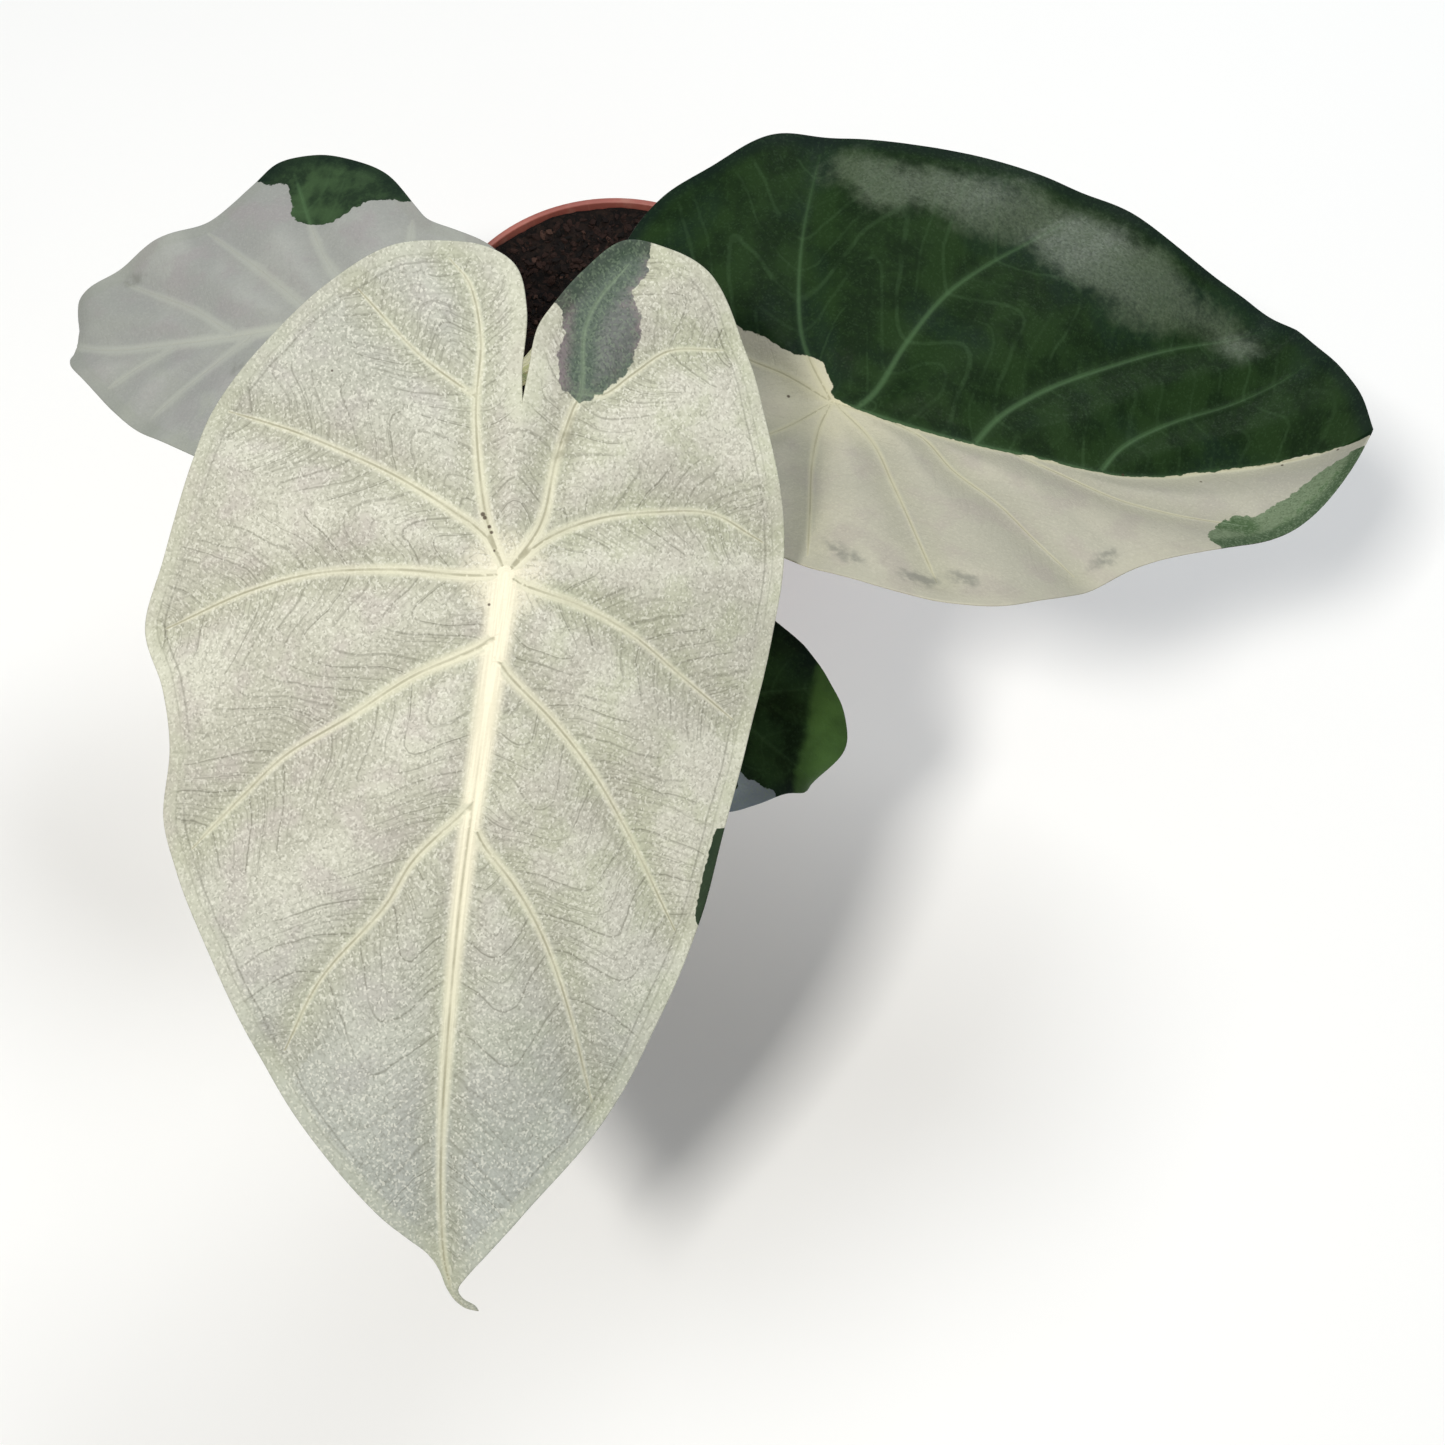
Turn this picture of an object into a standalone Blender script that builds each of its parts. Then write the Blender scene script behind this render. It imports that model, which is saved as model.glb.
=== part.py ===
# Regal shields alocasia in a round nursery pot.
# Metres, +Z up. The origin is the middle of the pot's flat underside.
# The plant faces -Y: the front blade hangs over that side of the pot.

from math import cos, pi, radians, sin

import bmesh
import bpy
import numpy as np
from mathutils import Vector

MM = 0.001
GAP = 0.3 * MM          # clearance between pieces that touch

# Pot: a turned plastic shell with a collar and drain holes
POT_HEIGHT = 94 * MM
POT_RIM_RADIUS = 55 * MM
POT_FOOT_RADIUS = 38 * MM
POT_WALL = 1.4 * MM
POT_LIP = 0.6 * MM       # how much the rim's edges are softened
COLLAR_HEIGHT = 13 * MM
COLLAR_STEP = 2.2 * MM   # how far the collar stands out from the wall
COLLAR_DRAFT = 1.0 * MM  # how much slimmer the collar is at its foot
FOOT_CHAMFER = 1.2 * MM
FLOOR_THICKNESS = 2.0 * MM
DRAIN_RADIUS = 4 * MM
DRAIN_RING_RADIUS = 26 * MM
DRAIN_COUNT = 8
DRAIN_TURN = 0.4         # the ring's turn, as a share of the step between two holes
ROUND_STEPS = 48

# Soil: fills the pot and banks up against its wall, with a plain hole in which the crown stands
SOIL_LEVEL = 86 * MM
SOIL_BANK = 6 * MM       # how much higher it lies at the wall
BANK_START = 15 * MM     # the radius from which it rises
SOIL_LUMP = 1.6 * MM
EDGE_LUMP = 0.4          # the share of the lumps that is left at the wall
SOIL_RINGS = 9
HOLE_RADIUS = 11 * MM
HOLE_FLOOR = 66 * MM

# Crown: the short stem that the petioles leave
CROWN_TOP = 110 * MM
CROWN_WAIST_RADIUS = HOLE_RADIUS - GAP
CROWN_TOP_RADIUS = 7 * MM
CROWN_STEPS = 24

# Petioles: round stalks, thick at the crown and slim under the blade
PETIOLE_FOOT_RADIUS = 4.2 * MM
PETIOLE_TIP_RADIUS = 2.6 * MM
PETIOLE_POINTS = 22
PETIOLE_INSET = 4 * MM     # how far from the crown's axis a petiole starts
PETIOLE_ROOT = 8 * MM      # how far it starts below the height at which it leaves the crown
LEAVE_OUT = 9 * MM         # its first stretch, away from the crown and up
LEAVE_UP = 14 * MM
ARCH_ALONG = 0.42          # where its arch stands, as shares of the way to the blade
ARCH_UP = 0.62
NECK_DROP = 14 * MM        # its last stretch, square to the blade's underside
NECK_BACK = 5 * MM
JOINT_CUT_DEPTH = 9 * MM   # how much of a petiole's end the trimming block takes

# Blades: a skin of even thickness over a curved sheet. Each blade is drawn flat, in
# millimetres: u runs along the midrib from the petiole to the tip, v across it.
# A margin runs from the bottom of the slot, round a lobe, to the tip. On the plus side it
# turns down by the edge drop. A petiole's arch is moved sideways by its bow.
BLADE_THICKNESS = 0.8 * MM
MARGIN_CROWDING = 1.4    # how much closer the margin's points stand towards the tip
VEIN_DEPTH = 1.1 * MM    # how far the main veins lie below the panels between them
VEIN_REACH = 7 * MM      # how far from a vein its valley spreads
VEIN_POINTS = 14
JOINT_FLAT = 12 * MM     # the radius round the petiole's joint in which the panels flatten out
DROP_FROM = 0.64         # the share of the way to the margin from which a blade turns down
DROP_FADE = 20 * MM      # how near the midrib's line that fades out
TRIM_RINGS = 4           # how many of a blade's inner rings the petiole's trimming block covers

BLADES = {
    "front": {
        "finish": "cream_leaf",
        "joint": (-13.5, -159, 240), "heading": -96, "pitch": -24, "roll": -10,
        "length": 176, "lobe": 80, "half_width": 70,
        "fold": (-4, -4), "curl": (-18, -18), "droop": 10, "hook": 30, "hook_from": 0.8,
        "lobe_rise": -10, "sway": -3.5, "margin_wave": 1.5, "edge_drop": 0, "spokes": 32, "rings": 11,
        "foot_azimuth": -118, "foot_height": 101, "bow": (0, 0, 0),
        "slot": (-37, 0),
        "margin_plus": [(-45, 0.8), (-55, 2), (-61, 5), (-70, 11), (-79, 20), (-79, 29), (-75, 41),
                        (-58, 52), (-44, 57), (-15, 65), (8, 64.5), (52, 58.5), (76, 55.5),
                        (99, 48.5), (123, 39), (144, 21), (153, 13.2), (159, 8.8), (164, 6.4), (167, 7.6),
                        (169.6, 10.2)],
        "margin_minus": [(-45, -0.8), (-60, -1), (-70, -4.5), (-74, -14), (-71, -32), (-62, -46),
                         (-35, -69), (-20, -74), (4, -79), (20, -81.5), (33, -75), (46, -71.5),
                         (63, -71), (74, -66.5), (92, -55), (125, -32.5), (146, -12.5), (152, -5),
                         (156, -0.3), (160, 2.2), (165.5, 4.1), (169, 6.1), (171, 8.4)],
        "tip": (171.6, 11),
        "veins": [[(0, 0), (-35, -10), (-52, -10.5), (-70, -19)], [(-38, -11), (-47, -24), (-60, -38)],
                  [(0, 0), (-20, -27), (-32, -67)], [(0, 0), (4, -42), (19, -76)],
                  [(14, 0), (35, -31), (70, -63)], [(51, 0), (76, -18), (112, -36)],
                  [(0, 0), (-38, 11.5), (-57, 13), (-73, 21)], [(-42, 13), (-51, 27), (-58, 44)],
                  [(0, 0), (-17, 30), (-15, 58)], [(0, 0), (10, 30), (27, 56)],
                  [(18, 0), (42, 25), (73, 47)], [(57, 0), (80, 19), (115, 34)]],
    },
    "right": {
        "finish": "half_green_leaf",
        "joint": (63, -79, 184), "heading": -3, "pitch": 2, "roll": 0,
        "length": 143, "lobe": 58, "half_width": 65,
        "fold": (10, 26), "curl": (4, -4), "droop": 22, "hook": -50, "hook_from": 0.6,
        "lobe_rise": 0, "sway": -11, "margin_wave": 1.5, "edge_drop": 2.6, "spokes": 30, "rings": 10,
        "foot_azimuth": -6, "foot_height": 99, "bow": (0, 0, 0),
        "slot": (-28, 0),
        "margin_plus": [(-36, 1.5), (-46, 6), (-54, 16), (-58, 30), (-57, 43), (-47, 58), (-33, 66),
                        (-17, 74), (5, 75.5), (30, 73.5), (69, 69), (87, 62), (111, 51),
                        (131, 32), (141, 15)],
        "margin_minus": [(-36, -1.5), (-46, -7), (-55, -19), (-57, -34), (-46, -50), (-28, -60),
                         (-10, -66), (0, -71), (13, -75), (36, -75.5), (49, -67.5), (59, -59),
                         (74, -45), (88, -37.5), (105, -31), (120, -26), (133, -17), (140, -8)],
        "tip": (143, 4),
        "veins": [[(0, 0), (-10, 30), (-7, 62)], [(9, 0), (28, 32), (54, 57)],
                  [(41, 0), (72, 24), (112, 42)], [(74, 0), (107, 21), (122, 27)],
                  [(0, 0), (-4, -28), (-4, -66)], [(2, 0), (16, -33), (23, -60)],
                  [(20, 0), (41, -32), (57, -53)], [(50, 0), (72, -17), (95, -24)],
                  [(0, 0), (-27, 13), (-48, 34)], [(0, 0), (-27, -15), (-46, -36)]],
    },
    "left": {
        "finish": "cream_leaf",
        "joint": (-57.5, -42, 168), "heading": 177, "pitch": -6, "roll": 0,
        "length": 106, "lobe": 37, "half_width": 48,
        "fold": (4, 4), "curl": (-8, -8), "droop": 14, "hook": 170, "hook_from": 0.78,
        "lobe_rise": -30, "sway": 3, "margin_wave": 1.2, "edge_drop": 0, "spokes": 24, "rings": 8,
        "foot_azimuth": -168, "foot_height": 97, "bow": (4, -20, -9),
        "slot": (-23, 0),
        "margin_plus": [(-29, 2), (-34.5, 8.5), (-36.5, 19.5), (-31, 31), (-17.5, 40.5), (0, 46.5),
                        (19.5, 48), (36.5, 46.5), (48, 40.5), (61, 33), (69, 27.5), (76, 21.5), (83, 14.5),
                        (89, 8), (94, 1.5)],
        "margin_minus": [(-29, -2), (-34.5, -7.5), (-34.5, -16.5), (-28, -23), (-17.5, -27),
                         (-8.5, -32.5), (-4, -37.5), (5, -47.5), (13.5, -52.5), (26, -56), (37.5, -55.5),
                         (44.5, -49.5), (57, -38), (72, -31), (82, -25), (91, -19), (98, -13)],
        "tip": (102, -6),
        "veins": [[(0, 0), (-6, 21), (-4, 42.5)], [(4, 0), (19.5, 21), (29, 43.5)],
                  [(36.5, 0), (50, 13.5), (63.5, 26)], [(58, 0), (70.5, 8.5), (79, 14.5)],
                  [(0, 0), (-4, -17.5), (-4, -33)], [(4, 0), (19.5, -20.5), (32, -50)],
                  [(17.5, 0), (36.5, -17.5), (56, -34.5)], [(42.5, 0), (56, -8.5), (73.5, -17.5)],
                  [(0, 0), (-17.5, 8.5), (-30, 19.5)], [(0, 0), (-17.5, -7.5), (-29, -16.5)]],
    },
    "low": {
        "finish": "green_leaf",
        "joint": (14, -144.5, 172), "heading": -32, "pitch": -12, "roll": 0,
        "length": 62, "lobe": 21, "half_width": 25,
        "fold": (6, 6), "curl": (-12, -12), "droop": 20, "hook": 120, "hook_from": 0.8,
        "lobe_rise": 0, "sway": 0, "margin_wave": 0.8, "edge_drop": 0, "spokes": 18, "rings": 6,
        "foot_azimuth": -62, "foot_height": 95, "bow": (0, 0, 0),
        "slot": (-13, 0),
        "margin_plus": [(-18.5, 3), (-21.5, 9.5), (-18.5, 17.5), (-9.5, 24), (4.5, 28), (16.5, 28),
                        (29, 27), (36.5, 25.5), (43.5, 24), (50.5, 20.5), (55, 13), (57, 5.5)],
        "margin_minus": [(-18.5, -3), (-21.5, -9.5), (-18.5, -17.5), (-9.5, -23), (4.5, -27), (18.5, -28),
                         (30.5, -26), (40, -22.5), (46, -15.5), (51, -8), (56.5, -3)],
        "tip": (62, 0),
        "veins": [[(0, 0), (-3.5, 11), (-3, 22.5)], [(3.5, 0), (15, 13), (22.5, 24)],
                  [(22.5, 0), (31.5, 9.5), (41, 18.5)], [(0, 0), (-3.5, -11), (-3, -21.5)],
                  [(3.5, 0), (15, -13), (22.5, -24)], [(22.5, 0), (31.5, -8.5), (41, -16.5)],
                  [(0, 0), (-10, 5.5), (-17.5, 13)], [(0, 0), (-10, -5.5), (-17.5, -13)]],
    },
}

FINISHES = {
    "terracotta_plastic": ((0.42, 0.12, 0.08), 0.45),
    "potting_soil": ((0.030, 0.018, 0.012), 0.95),
    "petiole_skin": ((0.42, 0.50, 0.28), 0.50),
    "cream_leaf": ((0.62, 0.62, 0.48), 0.50),
    "half_green_leaf": ((0.24, 0.27, 0.19), 0.45),
    "green_leaf": ((0.03, 0.07, 0.03), 0.45),
}


def clear_scene():
    for item in list(bpy.data.objects):
        bpy.data.objects.remove(item, do_unlink=True)


def finish(name):
    material = bpy.data.materials.get(name)
    if material is None:
        colour, roughness = FINISHES[name]
        material = bpy.data.materials.new(name)
        material.use_nodes = True
        shader = material.node_tree.nodes["Principled BSDF"]
        shader.inputs["Base Color"].default_value = (*colour, 1.0)
        shader.inputs["Roughness"].default_value = roughness
        shader.inputs["Metallic"].default_value = 0.0
    return material


def add_mesh(name, points, faces, collection, finish_name=None):
    mesh = bpy.data.meshes.new(name)
    mesh.from_pydata([tuple(point) for point in points], [], faces)
    item = bpy.data.objects.new(name, mesh)
    collection.objects.link(item)
    if finish_name:
        mesh.materials.append(finish(finish_name))
        mesh.shade_smooth()
    return item


def hide_cutter(item):
    item.hide_render = True
    item.display_type = "WIRE"


def bake_modifiers(item):
    view = bpy.context.evaluated_depsgraph_get()
    mesh = bpy.data.meshes.new_from_object(item.evaluated_get(view))
    item.modifiers.clear()
    old_mesh = item.data
    item.data = mesh
    bpy.data.meshes.remove(old_mesh)


def turned(name, profile, steps, collection, finish_name=None):
    """Turns a profile of (radius, height) points about Z. It runs down the outer side."""
    points = [(radius, 0.0, height) for radius, height in profile]
    edges = [(i, i + 1) for i in range(len(points) - 1)]
    mesh = bpy.data.meshes.new(name)
    mesh.from_pydata(points, edges, [])
    item = bpy.data.objects.new(name, mesh)
    collection.objects.link(item)
    screw = item.modifiers.new("Turn", "SCREW")
    screw.axis = "Z"
    screw.steps = steps
    screw.render_steps = steps
    screw.use_merge_vertices = True
    screw.merge_threshold = 0.01 * MM
    screw.use_smooth_shade = True
    bake_modifiers(item)
    if finish_name:
        item.data.materials.append(finish(finish_name))
    return item


def cut(item, cutter):
    boolean = item.modifiers.new("Cut", "BOOLEAN")
    boolean.operation = "DIFFERENCE"
    boolean.object = cutter
    boolean.solver = "EXACT"


def wall_radius(height):
    """The outer radius of the pot's wall below its collar."""
    top = POT_RIM_RADIUS - COLLAR_STEP
    return POT_FOOT_RADIUS + (top - POT_FOOT_RADIUS) * height / POT_HEIGHT


def inner_profile():
    """The pot's inside, from its floor to its rim, as (radius, height) points."""
    collar_base = POT_HEIGHT - COLLAR_HEIGHT
    inner_rim = POT_RIM_RADIUS - 1.4 * POT_WALL
    return [
        (wall_radius(FLOOR_THICKNESS) - POT_WALL, FLOOR_THICKNESS),
        (wall_radius(collar_base) - POT_WALL, collar_base - 2 * POT_WALL),
        (inner_rim - COLLAR_STEP / 2, collar_base + POT_WALL),
        (inner_rim, POT_HEIGHT - POT_LIP),
    ]


def build_pot(collection, cutters):
    collar_base = POT_HEIGHT - COLLAR_HEIGHT
    inside = inner_profile()
    profile = [
        (0.0, FLOOR_THICKNESS),
        *inside,
        (inside[-1][0] + POT_LIP, POT_HEIGHT),
        (POT_RIM_RADIUS - POT_LIP, POT_HEIGHT),
        (POT_RIM_RADIUS, POT_HEIGHT - POT_LIP),
        (POT_RIM_RADIUS - COLLAR_DRAFT + POT_LIP, collar_base + POT_LIP),
        (POT_RIM_RADIUS - COLLAR_DRAFT, collar_base),
        (wall_radius(collar_base), collar_base - POT_WALL / 2),
        (wall_radius(FOOT_CHAMFER), FOOT_CHAMFER),
        (POT_FOOT_RADIUS - FOOT_CHAMFER, 0.0),
        (0.0, 0.0),
    ]
    pot = turned("pot", profile, ROUND_STEPS, collection, "terracotta_plastic")
    for i in range(DRAIN_COUNT):
        angle = 2 * pi * (i + DRAIN_TURN) / DRAIN_COUNT
        bpy.ops.mesh.primitive_cylinder_add(
            vertices=16, radius=DRAIN_RADIUS, depth=6 * FLOOR_THICKNESS,
            location=(DRAIN_RING_RADIUS * cos(angle), DRAIN_RING_RADIUS * sin(angle), 0.0))
        drill = bpy.context.object
        drill.name = f"drain_cutter_{i + 1}"
        for owner in list(drill.users_collection):
            owner.objects.unlink(drill)
        cutters.objects.link(drill)
        hide_cutter(drill)
        cut(pot, drill)
    return pot


def lump(x, y):
    """A gentle, uneven soil surface: a sum of fixed waves across the pot."""
    waves = ((210, 95, 0.3, 1.0), (-130, 240, 1.9, 0.8), (330, -280, 4.1, 0.5), (90, 410, 2.6, 0.45))
    total = sum(size * sin(a * x + b * y + shift) for a, b, shift, size in waves)
    return SOIL_LUMP * total / 2


def soil_bank(radius, edge):
    """How much the soil has risen at a radius, on its way to the wall."""
    share = max(0.0, (radius - BANK_START) / (edge - BANK_START))
    return SOIL_BANK * share ** 2


def build_soil(collection):
    radii, heights = np.transpose(inner_profile())
    low, knee, collar = heights[0] + GAP, heights[1], heights[2]
    side = [(np.interp(height, heights, radii) - 2 * GAP, height) for height in (collar, knee)]
    edge = np.interp(SOIL_LEVEL + SOIL_BANK, heights, radii) - 2 * GAP
    steps = np.linspace(HOLE_RADIUS, edge, SOIL_RINGS + 1)
    top = [(radius, SOIL_LEVEL + soil_bank(radius, edge)) for radius in steps]
    bottom = [(radii[0] - 4 * GAP, low), (0.0, low)]
    profile = [(0.0, HOLE_FLOOR), (HOLE_RADIUS, HOLE_FLOOR), *top, *side, *bottom]
    soil = turned("soil", profile, ROUND_STEPS, collection, "potting_soil")
    for vertex in soil.data.vertices:
        x, y, z = vertex.co
        radius = (x * x + y * y) ** 0.5
        if z > SOIL_LEVEL - MM and radius > HOLE_RADIUS + MM:
            outward = radius / edge
            vertex.co.z += lump(x, y) * (1 - (1 - EDGE_LUMP) * outward ** 2)
    return soil


def crown_profile(swell):
    """The crown's outline, made larger all round by swell for the cutter."""
    return [
        (0.0, CROWN_TOP + swell),
        (CROWN_TOP_RADIUS * 0.6 + swell, CROWN_TOP - 1.2 * MM + swell),
        (CROWN_TOP_RADIUS + swell, CROWN_TOP - 5 * MM),
        (CROWN_WAIST_RADIUS * 0.86 + swell, SOIL_LEVEL + 9 * MM),
        (CROWN_WAIST_RADIUS * 0.94 + swell, SOIL_LEVEL + 2 * MM),
        (CROWN_WAIST_RADIUS + swell, SOIL_LEVEL - 6 * MM),
        (CROWN_WAIST_RADIUS * 0.9 + swell, HOLE_FLOOR + 4 * MM),
        (CROWN_WAIST_RADIUS * 0.6 + swell, HOLE_FLOOR + GAP - swell),
        (0.0, HOLE_FLOOR + GAP - swell),
    ]


def build_crown(collection, cutters):
    crown = turned("crown", crown_profile(0.0), CROWN_STEPS, collection, "petiole_skin")
    cutter = turned("crown_cutter", crown_profile(GAP), CROWN_STEPS, cutters)
    hide_cutter(cutter)
    return crown, cutter


def smooth_path(points, count, crowding=1.0):
    """Points on a smooth curve through the given ones, closer at its end if crowding is over 1."""
    fixed = np.array(points, dtype=float)
    padded = np.vstack([2 * fixed[0] - fixed[1], fixed, 2 * fixed[-1] - fixed[-2]])
    steps = np.linalg.norm(np.diff(padded, axis=0), axis=1) ** 0.5
    knots = np.concatenate([[0.0], np.cumsum(steps)])
    fine = []
    for i in range(1, len(padded) - 2):
        k0, k1, k2, k3 = knots[i - 1:i + 3]
        p0, p1, p2, p3 = padded[i - 1:i + 3]
        for k in np.linspace(k1, k2, 24, endpoint=False):
            a1 = ((k1 - k) * p0 + (k - k0) * p1) / (k1 - k0)
            a2 = ((k2 - k) * p1 + (k - k1) * p2) / (k2 - k1)
            a3 = ((k3 - k) * p2 + (k - k2) * p3) / (k3 - k2)
            b1 = ((k2 - k) * a1 + (k - k0) * a2) / (k2 - k0)
            b2 = ((k3 - k) * a2 + (k - k1) * a3) / (k3 - k1)
            fine.append(((k2 - k) * b1 + (k - k1) * b2) / (k2 - k1))
    fine.append(fixed[-1])
    fine = np.array(fine)
    run = np.concatenate([[0.0], np.cumsum(np.linalg.norm(np.diff(fine, axis=0), axis=1))])
    spots = run[-1] * (1 - (1 - np.linspace(0.0, 1.0, count)) ** crowding)
    return np.column_stack([np.interp(spots, run, fine[:, axis]) for axis in range(fine.shape[1])])


def turn(axis, degrees):
    c, s = cos(radians(degrees)), sin(radians(degrees))
    if axis == "x":
        return np.array([[1, 0, 0], [0, c, -s], [0, s, c]])
    if axis == "y":
        return np.array([[c, 0, s], [0, 1, 0], [-s, 0, c]])
    return np.array([[c, -s, 0], [s, c, 0], [0, 0, 1]])


def midrib_curve(blade):
    """The midrib in its own upright plane: flat distance, slope, reach and height."""
    length, lobe = blade["length"] * MM, blade["lobe"] * MM
    flat = np.linspace(-1.3 * lobe, 1.1 * length, 600)
    ahead = np.clip(flat / length, 0, None)
    behind = np.clip(-flat / lobe, 0, None)
    hooked = np.clip((ahead - blade["hook_from"]) / (1 - blade["hook_from"]), 0, None) ** 2
    slope = np.radians(-blade["droop"] * ahead - blade["hook"] * hooked - blade["lobe_rise"] * behind)
    step = np.diff(flat)
    reach = np.concatenate([[0.0], np.cumsum(step * (np.cos(slope[1:]) + np.cos(slope[:-1])) / 2)])
    height = np.concatenate([[0.0], np.cumsum(step * (np.sin(slope[1:]) + np.sin(slope[:-1])) / 2)])
    return flat, slope, reach - np.interp(0, flat, reach), height - np.interp(0, flat, height)


def on_blade(blade, u, v, lift=0.0):
    """World points for flat blade points (metres), raised by lift off the sheet."""
    flat, slopes, reaches, heights = midrib_curve(blade)
    slope = np.interp(u, flat, slopes)
    reach = np.interp(u, flat, reaches)
    height = np.interp(u, flat, heights)
    half = blade["half_width"] * MM
    across = np.abs(v) / half
    fold = np.radians(np.where(v < 0, blade["fold"][1], blade["fold"][0]))
    curl = np.radians(np.where(v < 0, blade["curl"][1], blade["curl"][0]))
    side = np.sign(v) * half * (np.sin(fold + curl * across) - np.sin(fold)) / curl
    rise = half * (np.cos(fold) - np.cos(fold + curl * across)) / curl + lift
    ahead = np.clip(u / (blade["length"] * MM), 0, 1)
    side = side + blade["sway"] * MM * 6.75 * ahead ** 2 * (1 - ahead)
    local = np.stack([reach - rise * np.sin(slope), side, height + rise * np.cos(slope)], axis=-1)
    pose = turn("z", blade["heading"]) @ turn("y", -blade["pitch"]) @ turn("x", blade["roll"])
    return local @ pose.T + np.array(blade["joint"]) * MM


def vein_distance(blade, u, v):
    """Distance from flat points to the nearest main vein or the midrib."""
    nearest = np.where(u > 0, np.abs(v), np.hypot(u, v))
    for vein in blade["veins"]:
        path = smooth_path(np.array(vein) * MM, VEIN_POINTS)
        gaps = np.hypot(u[:, None] - path[None, :, 0], v[:, None] - path[None, :, 1])
        nearest = np.minimum(nearest, gaps.min(axis=1))
    return nearest


def blade_margin(blade):
    """Flat points once round the blade: one side out to the tip, the other side back."""
    sides = []
    for side in ("margin_plus", "margin_minus"):
        outline = [blade["slot"], *blade[side], blade["tip"]]
        sides.append(smooth_path(outline, blade["spokes"] + 1, MARGIN_CROWDING) * MM)
    plus, minus = sides
    return np.vstack([plus, minus[-2:0:-1]])


def blade_sheet(blade, rings_used):
    """Points and triangles of the blade's upper face: rings round the petiole's joint."""
    margin = blade_margin(blade)
    count = len(margin)
    shares = np.arange(1, rings_used + 1) / blade["rings"]
    rings = shares[:, None, None] * margin[None, :, :]
    flat = np.vstack([[[0.0, 0.0]], rings.reshape(-1, 2)])
    share = np.concatenate([[0.0], np.repeat(shares, count)])
    around = np.concatenate([[0.0], np.tile(np.arange(count) / count, rings_used)])
    u, v = flat[:, 0], flat[:, 1]
    panels = 1 - np.exp(-(vein_distance(blade, u, v) / VEIN_REACH) ** 2)
    near_joint = np.clip(np.hypot(u, v) / JOINT_FLAT, 0, 1) ** 2
    waves = np.sin(2 * pi * 7 * around) + 0.6 * np.sin(2 * pi * 11 * around + 1.7)
    lift = VEIN_DEPTH * panels * near_joint + blade["margin_wave"] * MM * share ** 3 * waves
    outer = np.clip((share - DROP_FROM) / (1 - DROP_FROM), 0, 1) ** 2 * np.clip(v / DROP_FADE, 0, 1)
    lift -= blade["edge_drop"] * MM * outer
    points = on_blade(blade, u, v, lift)
    faces = [(0, 1 + (i + 1) % count, 1 + i) for i in range(count)]
    for ring in range(rings_used - 1):
        inner, outer = 1 + ring * count, 1 + (ring + 1) * count
        for i in range(count):
            j = (i + 1) % count
            faces.append((inner + i, outer + j, outer + i))
            faces.append((inner + i, inner + j, outer + j))
    return points, faces


def build_blade(name, blade, collection):
    points, faces = blade_sheet(blade, blade["rings"])
    item = add_mesh(f"blade_{name}", points, faces, collection, blade["finish"])
    solidify = item.modifiers.new("Thickness", "SOLIDIFY")
    solidify.thickness = BLADE_THICKNESS
    solidify.offset = -1.0
    return item


def sheet_normal(blade):
    """The upward direction square to the blade at the petiole's joint."""
    u = np.array([0.0, MM, 0.0])
    v = np.array([0.0, 0.0, MM])
    middle, ahead, aside = on_blade(blade, u, v)
    normal = np.cross(ahead - middle, aside - middle)
    return normal / np.linalg.norm(normal)


def build_joint_cutter(name, blade, cutters):
    """A block over the blade's underside that trims the petiole just below it."""
    points, faces = blade_sheet(blade, TRIM_RINGS)
    normal = sheet_normal(blade)
    points = points - normal * (BLADE_THICKNESS + GAP)
    cutter = add_mesh(f"joint_cutter_{name}", points, faces, cutters)
    shape = bmesh.new()
    shape.from_mesh(cutter.data)
    raised = bmesh.ops.extrude_face_region(shape, geom=shape.faces[:])["geom"]
    tops = [item for item in raised if isinstance(item, bmesh.types.BMVert)]
    bmesh.ops.translate(shape, verts=tops, vec=Vector(normal) * JOINT_CUT_DEPTH)
    bmesh.ops.recalc_face_normals(shape, faces=shape.faces)
    if shape.calc_volume(signed=True) < 0:
        bmesh.ops.reverse_faces(shape, faces=shape.faces)
    shape.to_mesh(cutter.data)
    shape.free()
    hide_cutter(cutter)
    return cutter


def petiole_path(blade):
    """From inside the crown, out and up, over an arch and up to the blade's underside."""
    joint = np.array(blade["joint"]) * MM
    normal = sheet_normal(blade)
    azimuth = radians(blade["foot_azimuth"])
    outward = np.array([cos(azimuth), sin(azimuth), 0.0])
    up = np.array([0.0, 0.0, 1.0])
    foot = outward * PETIOLE_INSET + up * (blade["foot_height"] * MM - PETIOLE_ROOT)
    leave = foot + outward * LEAVE_OUT + up * LEAVE_UP
    rise = joint[2] - leave[2]
    toward = joint - leave - up * rise
    arch = leave + toward * ARCH_ALONG + up * rise * ARCH_UP + np.array(blade["bow"]) * MM
    below = joint - normal * NECK_DROP - toward / np.linalg.norm(toward) * NECK_BACK
    return smooth_path([foot, leave, arch, below, joint + normal * MM], PETIOLE_POINTS)


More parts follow.
